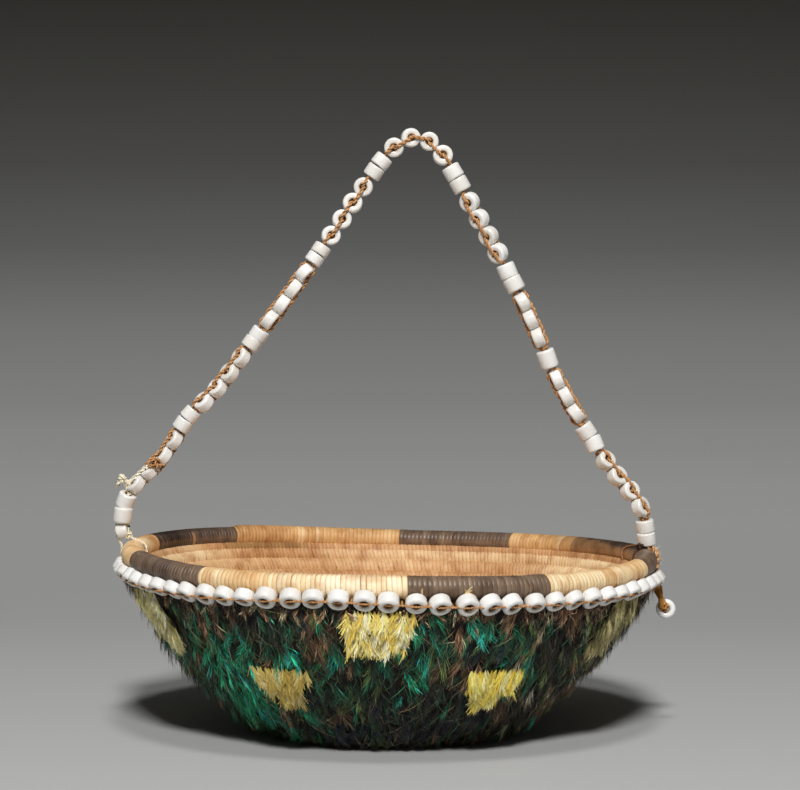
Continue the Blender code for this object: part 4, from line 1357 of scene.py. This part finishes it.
def put_barb(places, start, direction, face, reach, width, tint, curl):
    """One barb, shortened where it would reach the floor and left out where little of it is left."""
    direction = direction.normalized()
    face = face - direction * face.dot(direction)
    share = above_floor(start, direction * reach + curl)
    if share > 0.12:
        reach *= share
        places.put(start, face.normalized(), direction, (reach, width, reach), 0.5, tint, curl * share)


def lifted(below, away, round_bowl, yaw, lift):
    """The way down the wall, turned round the bowl by the yaw and out of the wall by the lift."""
    down = below * math.cos(yaw) + round_bowl * math.sin(yaw)
    return (down * math.cos(lift) + away * math.sin(lift)).normalized()


def put_feather(
    places, distance, angle, length, colour, rng, lift, yaw, raised=0.0, barbs=BARBS, contrast=0.62,
    barb_width=BARB_WIDTH,
):
    """One feather as a fan of barbs from its shaft, pointing down the wall."""
    below, away, round_bowl = wall_directions(distance, angle)
    root = on_bowl(wall_place(distance, WALL_THICKNESS / 2 + ROOT_HEIGHT + raised), angle)
    down = lifted(below, away, round_bowl, yaw, lift)
    across = down.cross(away).normalized()
    bow = across * rng.normal(0.0, 0.13) * length - away * 0.1 * length
    for k in range(barbs):
        share = (k + rng.uniform(0.0, 1.0)) / barbs
        hand = 1.0 if k % 2 else -1.0
        along = 0.62 * share
        start = root + down * length * along + bow * along**2
        fan = hand * math.radians(rng.uniform(8.0, 40.0)) * (1.0 - 0.5 * share)
        direction = down * math.cos(fan) + across * math.sin(fan) + away * rng.normal(0.04, 0.15)
        reach = length * (0.52 - 0.14 * share) * rng.uniform(0.6, 1.3)
        curl = bow * 0.7 - across * hand * reach * rng.uniform(0.0, 0.4)
        curl += Vector(rng.normal(0.0, 0.08 * reach, 3))
        face = away + UP * 0.95 + Vector(rng.normal(0.0, 0.1 + 0.5 * contrast, 3))
        bright = math.exp(contrast * rng.normal(-0.2, 1.0))
        tint = [min(1.0, value * bright) for value in colour]
        put_barb(places, start, direction, face, reach, barb_width * rng.uniform(0.7, 1.3), tint, curl)


def feathers(tree, material):
    """The coat of small feathers, in rows down the wall, as one piece for each course."""
    rng = np.random.default_rng(3)
    courses = [Places() for _ in range(COURSES)]
    for row in range(FEATHER_ROWS):
        distance = COAT_STOP * row / (FEATHER_ROWS - 1) + COAT_START
        count = round(math.tau * wall_place(distance, 0.0).x / FEATHER_SPACING)
        for k in range(count):
            angle = math.tau * (k + 0.5 * (row % 2) + rng.normal(0.0, 0.25)) / count
            degrees = front_degrees(angle)
            spot = max(distance + rng.normal(0.0, 0.5 * MM), 0.1 * MM)
            height = wall_place(spot + 0.5 * FEATHER_LENGTH, 0.0).y
            kind = feather_kind(degrees, spot, height, rng)
            shade = math.exp(rng.normal(0.42 if kind in ("emerald", "teal") else 0.24, 0.46))
            if RIGHT_SIDE[0] < degrees < RIGHT_SIDE[1]:
                shade *= RIGHT_SIDE_SHADE
            colour = [shade * value for value in linear(PALETTE[kind])]
            sway = noise.noise(Vector((math.radians(degrees) * 6.0, spot / MM * 0.17, 5.0)))
            yaw = math.radians(50.0 * sway + rng.normal(0.0, 15.0))
            more = uneven(0.0, FEATHER_LIFTS, degrees) if height < 26.0 * MM else 0.0
            lift = math.radians(rng.uniform(4.0, 30.0) + more)
            length = FEATHER_LENGTH * rng.uniform(0.65, 1.15)
            course = (row + 1) * COURSES // (FEATHER_ROWS + 1)
            put_feather(courses[course], spot, angle, length, colour, rng, lift, yaw)
    return [
        places.made(f"feathers_{k + 1}", tree, material, Taper=0.75)
        for k, places in enumerate(courses)
    ]


def top_fringe(tree, material):
    """Short brown down that shows under the bead row."""
    rng = np.random.default_rng(9)
    places = Places()
    hues = [linear(PALETTE[name]) for name in ("rust", "brown", "black", "taupe")]
    for k in range(FRINGE_TUFTS):
        angle = math.tau * (k + rng.uniform(-0.5, 0.5)) / FRINGE_TUFTS
        brown = 0.62 if -30.0 < front_degrees(angle) < 100.0 else 0.3
        shares = (0.5 * brown, 0.4 * brown, 0.85 - 0.9 * brown, 0.15)
        colour = [2.1 * value for value in hues[rng.choice(len(hues), p=shares)]]
        yaw = math.radians(rng.normal(0.0, 32.0))
        lift = math.radians(rng.uniform(2.0, 40.0))
        length = rng.uniform(2.8, 5.4) * MM
        if abs(front_degrees(angle) - LOOSE_BEAD_ANGLE) < 7.0:
            length *= 0.5
        distance = rng.uniform(0.05, 0.9) * MM
        put_feather(
            places, distance, angle, length, colour, rng, lift, yaw, raised=FRINGE_RAISED,
            barbs=FRINGE_BARBS,
        )
    return places.made("top_fringe", tree, material, Taper=0.75)


def wisps(tree, material):
    """Stray barbs that stand out over the coat and cross each other."""
    rng = np.random.default_rng(13)
    places = Places()
    hues = [linear(code) for code in WISP_HUES]
    for _ in range(WISPS):
        distance = rng.uniform(0.0, 44.0) * MM
        angle = rng.uniform(0.0, math.tau)
        below, away, round_bowl = wall_directions(distance, angle)
        start = on_bowl(wall_place(distance, WALL_THICKNESS / 2 + rng.uniform(1.2, 2.4) * MM), angle)
        yaw = math.radians(rng.normal(0.0, 32.0))
        lift = math.radians(rng.uniform(4.0, 26.0))
        down = lifted(below, away, round_bowl, yaw, lift)
        reach = rng.uniform(3.5, 7.5) * MM
        curl = round_bowl * rng.normal(0.0, 0.28) * reach - away * 0.25 * reach
        bright = math.exp(rng.normal(0.0, 0.3))
        tint = [min(1.0, value * bright) for value in hues[rng.choice(len(hues))]]
        face = away + UP * 0.95 + Vector(rng.normal(0.0, 0.3, 3))
        put_barb(places, start, down, face, reach, rng.uniform(0.1, 0.17) * MM, tint, curl)
    return places.made("stray_barbs", tree, material, Taper=0.6)


def yellow_feathers(name, tree, material, patches, seed):
    """Patches of yellow feathers over the coat."""
    rng = np.random.default_rng(seed)
    places = Places()
    for centre, width, top, bottom, narrowing, shift, hue in patches:
        hues = [linear(code) for code in YELLOWS[hue]]
        rows = math.ceil((bottom - top) / YELLOW_ROW_SPACING)
        for row in range(rows):
            share = (row + 0.5) / rows
            distance = (top + (bottom - top) * share) * MM
            radius = wall_place(distance, 3 * MM).x
            half = width * MM / 2 * (1.0 - narrowing * share) / radius
            middle = from_front(centre) + shift * MM * share / radius
            count = round(2 * half * radius / YELLOW_SPACING)
            for k in range(count):
                across = (k + 0.5) / count * 2 - 1
                angle = middle + half * across + rng.normal(0.0, 0.006)
                yaw = math.radians(-30.0 * narrowing * across + 2.0 * shift + rng.normal(0.0, 8.0))
                lift = math.radians(rng.uniform(13.0, 30.0))
                length = YELLOW_LENGTH * rng.uniform(0.75, 1.15)
                colour = hues[rng.choice(len(hues))]
                put_feather(
                    places, distance, angle, length, colour, rng, lift, yaw, raised=YELLOW_RAISED,
                    barbs=YELLOW_BARBS, contrast=0.12, barb_width=YELLOW_BARB_WIDTH,
                )
    return places.made(name, tree, material, Taper=0.6)


def under_coat(material):
    """The matted layer between the wall and the feathers, dark partly as painted shade between them."""
    distances = [WALL_LENGTH * UNDER_COAT_REACH * k / 30 + COAT_START for k in range(31)]
    outer = [wall_place(distance, WALL_THICKNESS / 2 + UNDER_COAT) for distance in distances]
    inner = [wall_place(distance, WALL_THICKNESS / 2 + 0.05 * MM) for distance in distances]
    return turned("under_coat", (outer + inner[::-1])[::-1], material)


# Ties, knots and the loose bead


def frayed(places, middle, size, count, tint, rng):
    """Loose fibres standing out of a knot."""
    for _ in range(count):
        direction = Vector(rng.normal(0.0, 1.0, 3)).normalized()
        face = direction.orthogonal().normalized()
        reach = size * rng.uniform(0.5, 1.2)
        bright = rng.uniform(0.75, 1.15)
        curl = Vector(rng.normal(0.0, 0.25 * reach, 3)) - UP * 0.2 * reach
        tinted = [value * bright for value in tint]
        start = middle + direction * size * 0.2
        put_barb(places, start, direction, face, reach, FIBRE_WIDTH, tinted, curl)


def knot(name, middle, axis, material, size, cord):
    """A knot of a twisted cord, which winds over and under itself in a little over two turns."""
    axis = axis.normalized()
    side = axis.orthogonal().normalized()
    up = axis.cross(side)
    route = []
    for k in range(40):
        turn = KNOT_TURNS * math.tau * k / 39
        wide = size / 2 * (0.62 + 0.3 * math.cos(1.5 * turn))
        along = size * 0.3 * math.sin(1.5 * turn)
        route.append(middle + side * math.cos(turn) * wide + up * math.sin(turn) * wide + axis * along)
    return two_ply(name, route, cord, material)


def route_from(start, offsets):
    """Points at these offsets from a place, in millimetres."""
    return [start + Vector(offset) * MM for offset in offsets]


def loop_round_rim(angle, radius, start, stop):
    """Points round the rim coil in the upright plane through an angle, from and to these turns."""
    middle = rim_middle(angle)
    out = outward(angle)
    points = []
    for k in range(24):
        turn = math.radians(start + (stop - start) * k / 23)
        points.append(middle + radius * (out * math.cos(turn) + UP * math.sin(turn)))
    return points


# Studio


def camera():
    """The photograph's view: just above the rim, almost level, aimed a little to the right of the middle."""
    data = bpy.data.cameras.new("camera")
    data.lens = CAMERA_LENS
    data.sensor_width = CAMERA_SENSOR
    data.clip_start = 0.05
    data.clip_end = 20.0
    made = bpy.data.objects.new("camera", data)
    bpy.context.scene.collection.objects.link(made)
    made.location = CAMERA_PLACE
    made.rotation_euler = (math.radians(90.0 - CAMERA_DOWN), 0.0, math.radians(-CAMERA_RIGHT))
    bpy.context.scene.camera = made


def area_light(name, place, size, watts, target):
    """A round white lamp at a place, aimed at a target."""
    data = bpy.data.lights.new(name, "AREA")
    data.shape = "DISK"
    data.size = size
    data.energy = watts
    made = bpy.data.objects.new(name, data)
    bpy.context.scene.collection.objects.link(made)
    made.location = place
    made.rotation_mode = "QUATERNION"
    made.rotation_quaternion = (Vector(target) - Vector(place)).to_track_quat("-Z", "Y")
    return made


def keep_off(lamp, floor):
    """Keeps a lamp's light off the floor and out of reflections, so that the floor's shadow stays."""
    lamp.visible_glossy = False
    kept_out = bpy.data.collections.new(lamp.name + "_keeps_off")
    kept_out.objects.link(floor)
    kept_out.collection_objects[0].light_linking.link_state = "EXCLUDE"
    lamp.light_linking.receiver_collection = kept_out


def paper_painted_light(tree, shader):
    """Pale paper with painted light and shade: a painted glow low on the sweep and far back, seen only by
    the camera and in reflections, and painted shade that darkens it up the backdrop.
    """
    place = add(tree, "ShaderNodeTexCoord")["Object"]
    axes = add(tree, "ShaderNodeSeparateXYZ", {"Vector": place})
    height = add(tree, MATHS, {0: axes["Z"], 1: BEND_RADIUS}, operation="DIVIDE")["Value"]
    # Painted shade: the paper darkens up the backdrop.
    paper = add(tree, RAMP, {"Fac": height}, (
        (0.36, "#B6B6B5"), (0.53, "#8F8E8B"), (0.7, "#75746F"), (0.87, "#5C5B56"),
    ))["Color"]
    # Painted light: a glow low on the sweep, strongest far back, seen only by the camera and in reflections.
    low = add(tree, RAMP, {"Fac": height}, (
        (0.0, "#737371"), (0.062, "#636361"), (0.13, "#595957"), (0.207, "#4B4B49"), (0.285, "#333332"),
        (0.36, "#000000"),
    ))["Color"]
    depth = add(tree, MATHS, {0: axes["Y"], 1: BEND_START}, operation="DIVIDE")["Value"]
    far = add(tree, RAMP, {"Fac": depth}, (
        (0.14, "#000000"), (0.26, "#A0A0A0"), (0.4, "#D8D8D8"), (0.63, "#F7F7F7"), (0.85, "#FFFFFF"),
    ))["Color"]
    painted_floor_glow = add(tree, MIX, {0: 1.0, 6: low, 7: far}, data_type="RGBA", blend_type="MULTIPLY")[2]
    rays = add(tree, "ShaderNodeLightPath")
    links = {0: rays["Is Glossy Ray"], 1: rays["Is Transmission Ray"]}
    mirrored = add(tree, MATHS, links, operation="MAXIMUM")["Value"]
    seen = add(tree, MATHS, {0: rays["Is Camera Ray"], 1: mirrored}, operation="MAXIMUM")["Value"]
    tree.links.new(paper, shader.inputs["Base Color"])
    tree.links.new(painted_floor_glow, shader.inputs["Emission Color"])
    tree.links.new(seen, shader.inputs["Emission Strength"])


def paper_sweep():
    """Floor and backdrop in one sheet of paper, bent up behind the object."""
    paper, tree, shader = plain_material("pale_paper_with_painted_light", roughness=0.9)
    paper_painted_light(tree, shader)
    line = [(-FLOOR_REACH, 0.0)]
    for k in range(17):
        turn = math.radians(90.0 * k / 16)
        line.append((BEND_START + BEND_RADIUS * math.sin(turn), BEND_RADIUS - BEND_RADIUS * math.cos(turn)))
    line.append((BEND_START + BEND_RADIUS, FLOOR_REACH))
    points = [(x, y, z) for y, z in line for x in (-FLOOR_REACH, FLOOR_REACH)]
    faces = [(2 * k, 2 * k + 1, 2 * k + 3, 2 * k + 2) for k in range(len(line) - 1)]
    return mesh_piece("floor", points, faces, paper)


def studio():
    """Floor, backdrop and lamps."""
    scene = bpy.context.scene
    scene.view_settings.view_transform = "Standard"
    sweep = paper_sweep()
    for lamp in BACK_LAMPS:
        keep_off(area_light(*lamp, BACK_LAMPS_AIM), sweep)
    for lamp in LAMPS:
        area_light(*lamp, LAMPS_AIM)
    world = bpy.data.worlds.new("soft_room")
    world.use_nodes = True
    scene.world = world
    background = world.node_tree.nodes["Background"]
    background.inputs["Color"].default_value = (1.0, 1.0, 1.0, 1.0)
    background.inputs["Strength"].default_value = ROOM_LIGHT


# Pieces, with what they replace, their finish and their body


def basket():
    """The bowl and its rim."""
    light_root = split_root(
        "sedge_root", ((0.0, "#C49460"), (0.38, "#DCB078"), (0.68, "#F3DDB2"), (1.0, "#FBEDD0")),
        painted_edge_colour="#BE9058", roughness=0.48, stain="#C49A6C", orange_top_and_shaded_underside="#D29C5C",
    )
    inner_root = split_root(
        "old_sedge_root", ((0.0, "#9A7444"), (0.2, "#BC8B5C"), (0.45, "#D3A675"), (1.0, "#F0D4A6")),
        painted_edge_colour="#B98A5C", roughness=0.55, stain="#BC8C60",
    )
    dark_root = split_root(
        "dyed_root", ((0.0, "#1E1612"), (0.35, "#5E4D43"), (0.6, "#75614F"), (1.0, "#8F7864")),
        painted_edge_colour="#94745A", roughness=0.36, stain="#8A7668", undyed="#B48A60",
    )
    rods = willow()
    ring = ring_stitch_tree()
    arc = arc_stitch_tree()
    core = bowl_core(rods)
    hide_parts("coiled_wall")
    pieces = [core]
    pieces.append(inner_stitches(0, UPPER_ROWS, "inner_stitches_upper", arc, inner_root))
    pieces.append(inner_stitches(UPPER_ROWS, WALL_ROWS, "inner_stitches_lower", arc, inner_root))
    pieces.append(inner_stitches(WALL_ROWS, WALL_ROWS + FLOOR_ROWS, "floor_stitches", arc, inner_root))
    rim = rim_core(rods)
    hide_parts("rim_rods")
    dark, light, end = rim_stitches(ring, dark_root, light_root)
    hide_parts(*[f"rim_wrap_dark_{k + 1}" for k in range(5)])
    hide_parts(*[f"rim_wrap_light_{k + 1}" for k in range(5)])
    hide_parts("rim_coil_end")
    pieces += [rim, dark, light, end]
    for piece in pieces:
        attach(piece, "basket")


def coat():
    """The feathers, and the broken root on the rim that is made like them."""
    barbs = feather_barbs("green_barbs", "#262019", "#F0E6D0", worn="#7C7656")
    yellow = feather_barbs("yellow_barbs", "#FFF8DC", "#FFFFFF", roughness=0.6)
    tree = barb_tree()
    for k, piece in enumerate(feathers(tree, barbs)):
        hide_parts(f"feather_course_{k + 1}")
        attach(piece, "basket")
    straws = rim_straws(tree, feather_barbs("broken_root", "#E0CBA0", "#FFFFFF", roughness=0.6))
    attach(straws, "basket")
    for piece in (under_coat(down()), top_fringe(tree, barbs), wisps(tree, barbs)):
        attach(piece, "basket")
    upper = yellow_feathers("yellow_feathers_upper", tree, yellow, UPPER_PATCHES, 41)
    lower = yellow_feathers("yellow_feathers_lower", tree, yellow, LOWER_PATCHES, 42)
    for piece, row in ((upper, "upper"), (lower, "lower")):
        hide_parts(*[f"yellow_patch_{row}_{k + 1}" for k in range(5)])
        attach(piece, "basket")


def beads_and_cords():
    """The rim's row, the handle, the knots and ties, and the loose bead."""
    glass = white_glass()
    brown = twine("brown_twine", "#7E4C26", "#C28A52", "#EABD84")
    pale = twine("pale_thread", "#CDBB94", "#F0E6CC", "#FAF5E6")
    # The amber twine's near-black and pale gold are partly its own colour and partly painted shade and
    # painted highlight of a glossy cord.
    amber = twine("amber_twine", "#4E280C", "#B4701F", "#F6C66A", roughness=0.2)
    tree = bead_tree()
    row = rim_beads(tree, glass)
    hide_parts("rim_bead_row")
    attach(row, "basket")
    for piece in (rim_cord(brown), bore_cords(amber)):
        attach(piece, "basket")
    beads = seated_beads()
    nodes = [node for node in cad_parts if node.startswith("handle_") and "bead" in node]
    crossing = handle_beads(
        tree, glass, beads, "cross", "handle_cross_beads", Diameter=CROSS_BEAD_DIAMETER,
        Length=CROSS_BEAD_LENGTH, Edge=BEAD_EDGE,
    )
    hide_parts(*[node for node in nodes if "cross" in node or "foot" in node])
    paired = handle_beads(
        tree, glass, beads, "axial", "handle_pair_beads", Diameter=PAIR_BEAD_DIAMETER,
        Length=PAIR_BEAD_LENGTH, Edge=PAIR_BEAD_EDGE,
    )
    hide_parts(*[node for node in nodes if "pair" in node or "long" in node])
    for piece in (crossing, paired):
        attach(piece, "handle")
    for name, hand in (("a", 1), ("b", -1)):
        low, high = handle_cord_routes(beads, hand)
        thread = two_ply(f"handle_thread_{name}", low, HANDLE_CORD, pale)
        cord = two_ply(f"handle_twine_{name}", high, HANDLE_CORD, brown)
        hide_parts(f"handle_cord_{name}")
        for piece in (thread, cord):
            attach(piece, "handle")
    knots(beads, brown, pale)
    loose_bead(tree, glass, amber)


def knots(beads, brown, pale):
    """Knots on the handle's left leg, and the ties of both feet."""
    rng = np.random.default_rng(51)
    cream = linear("#EFE6CA")
    tan = linear("#D9AE7C")
    strands = twine("loose_fibres", "#CDBB8E", "#EADFBC", "#F8F1DA")
    dark = twine("dark_twine", "#241812", "#4A3222", "#7A5638")
    tree = barb_tree()
    spot = beads[PALE_KNOT_BEAD].middle + Vector(PALE_KNOT_PLACE) * MM
    pale_knot = knot("handle_pale_knot", spot, Vector((0.7, 0.5, 0.4)), pale, size=1.9 * MM, cord=1.1 * MM)
    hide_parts("handle_knot_pale")
    ends = route_from(spot, PALE_END)
    pale_end = two_ply("handle_pale_end", ends, 1.5 * MM, pale)
    fibres = Places()
    frayed(fibres, spot, 1.0 * MM, 20, cream, rng)
    frayed(fibres, ends[-1], 0.7 * MM, 16, cream, rng)
    spot = beads[BROWN_KNOT_BEAD].middle + Vector(BROWN_KNOT_PLACE) * MM
    lean = Vector((0.3, 1.0, 0.2))
    brown_knot = knot("handle_brown_knot", spot, lean, brown, size=2.9 * MM, cord=0.95 * MM)
    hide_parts("handle_knot_brown")
    brown_end = two_ply("handle_brown_end", route_from(spot, BROWN_END), 0.6 * MM, brown)
    frayed(fibres, spot, 1.2 * MM, 16, tan, rng)
    loose = fibres.made("handle_knot_fibres", tree, strands, Taper=0.6)
    for piece in (pale_knot, pale_end, brown_knot, brown_end, loose):
        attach(piece, "handle")
    left_ties(beads, tree, pale, dark, strands, cream, rng)
    right_ties(beads, tree, brown, dark, strands, tan, rng)


def slanting_loop(radius):
    """Points from the right foot over the coil's inner side, slanting away from the viewer and back."""
    points = []
    for k in range(20):
        share = k / 19
        angle = math.radians(1.5 + 11.0 * math.sin(math.pi * min(share * 0.85, 0.5)))
        turn = math.radians(85.0 + 125.0 * share)
        points.append(rim_middle(angle) + radius * (outward(angle) * math.cos(turn) + UP * math.sin(turn)))
    return points


def left_ties(beads, tree, pale, dark, strands, cream, rng):
    """Pale thread round the rim at the left foot, its frayed knot, and dark thread over the bead."""
    foot = beads[0]
    reach = CROSS_BEAD_LENGTH / 2 + 0.35 * MM
    outer = foot.place(-0.3 * MM, reach, 0.0)
    inner = foot.place(-0.3 * MM, -reach, 0.0)
    radius = RIM_COIL / 2 + 0.4 * MM
    left = [foot.place(foot.half, 0.6 * reach, 0.0), outer, *loop_round_rim(math.pi, radius, 20.0, -215.0)]
    left += [inner - UP * 1.0 * MM, foot.place(foot.half, -0.6 * reach, 0.0)]
    tie = two_ply("left_tie", left, 0.8 * MM, pale)
    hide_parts("handle_tie_left")
    spot = inner - UP * 0.5 * MM + FRONT * 0.6 * MM
    small = knot("left_tie_knot", spot, FRONT, pale, size=1.7 * MM, cord=0.6 * MM)
    ends = route_from(spot, LEFT_TIE_END)
    end = two_ply("left_tie_end", ends, 0.7 * MM, pale)
    threads = Places()
    frayed(threads, spot, 1.5 * MM, 30, cream, rng)
    frayed(threads, ends[-1], 1.0 * MM, 20, cream, rng)
    wisp = threads.made("left_tie_fibres", tree, strands, Taper=0.6)
    over = [foot.place(foot.half * 0.7, reach * turn, -0.8 * MM) for turn in (1.0, 0.4, -0.3, -1.0)]
    lashing = two_ply("left_lashing", over, 0.7 * MM, dark)
    for piece in (tie, small, end, wisp, lashing):
        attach(piece, "basket")


def right_ties(beads, tree, brown, dark, strands, tan, rng):
    """The right foot's dark knot on the rim, its thread round the coil, and its frayed end outside."""
    radius = RIM_COIL / 2 + 0.25 * MM
    ring = two_ply("right_tie", loop_round_rim(0.0, radius, 110.0, -250.0), 0.5 * MM, dark)
    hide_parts("handle_tie_right")
    second = two_ply("right_tie_brown", slanting_loop(radius), 0.42 * MM, brown)
    last = beads[-1]
    middle = rim_middle(0.0)
    top = middle + UP * (RIM_COIL / 2 + 0.8 * MM) + outward(0.0) * RIGHT_FOOT_OFFSET
    route = [top - UP * 0.3 * MM, top + UP * 0.6 * MM, last.place(0.0, 0.0, 0.0)]
    link = two_ply("right_foot_cord", route, 1.1 * MM, dark)
    last.place(last.half, 0.0, 0.0)
    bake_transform(link)
    inside = top + Vector((-1.5, -1.1, -0.1)) * MM
    top_knot = knot("right_top_knot", inside, Vector((1.0, 0.3, 0.3)), dark, size=1.9 * MM, cord=0.65 * MM)
    wrap = two_ply("right_wrap", route_from(middle, RIGHT_WRAP), 1.9 * MM, brown, lay=1.5)
    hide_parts("rim_knot_right")
    fibres = Places()
    for spot in route_from(middle, RIGHT_WRAP_TUFTS):
        frayed(fibres, spot, 1.3 * MM, 18, tan, rng)
    loose = fibres.made("right_wrap_fibres", tree, strands, Taper=0.6)
    for piece in (ring, second, top_knot, wrap, loose):
        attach(piece, "basket")


def loose_bead(tree, glass, amber):
    """The bead that hangs at the right on a thick glossy tail of waxed cord."""
    low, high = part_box("loose_bead")
    middle = (low + high) / 2 + Vector(LOOSE_BEAD_SHIFT) * MM
    back = Vector((0.12, 1.0, -0.1)).normalized()
    places = Places()
    places.put(middle, back, outward(0.0), (1.0, 1.0, 0.8), 0.75)
    bead = places.made(
        "loose_glass_bead", tree, glass, Diameter=4.8 * MM, Bore=1.7 * MM, Length=2.7 * MM, Edge=0.75 * MM,
    )
    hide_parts("loose_bead")
    mouth = mouth_place(row_angles()[-1], 0.3 * MM, 0.0)
    top = rim_middle(0.0) + Vector(LOOSE_TAIL_TOP) * MM
    middle_way = mouth.lerp(top, 0.5) - outward(0.0) * 0.1 * MM
    link = plain_cords("loose_bead_link", [[mouth, middle_way, top - UP * 0.5 * MM]], 1.1 * MM, amber)
    hole = middle - back * 1.2 * MM - outward(0.0) * 0.5 * MM + UP * 0.4 * MM
    bend = top.lerp(hole, 0.5) - back * 0.9 * MM
    tail = two_ply("loose_bead_cord", [top, bend, hole], 2.4 * MM, amber, lay=4.5, sides=10)
    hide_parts("loose_bead_tail")
    stop = knot("loose_bead_stop", hole, back, amber, size=1.8 * MM, cord=1.1 * MM)
    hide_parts("loose_bead_knot")
    for piece in (bead, link, tail, stop):
        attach(piece, "loose_bead")


camera()
studio()
basket()
coat()
beads_and_cords()
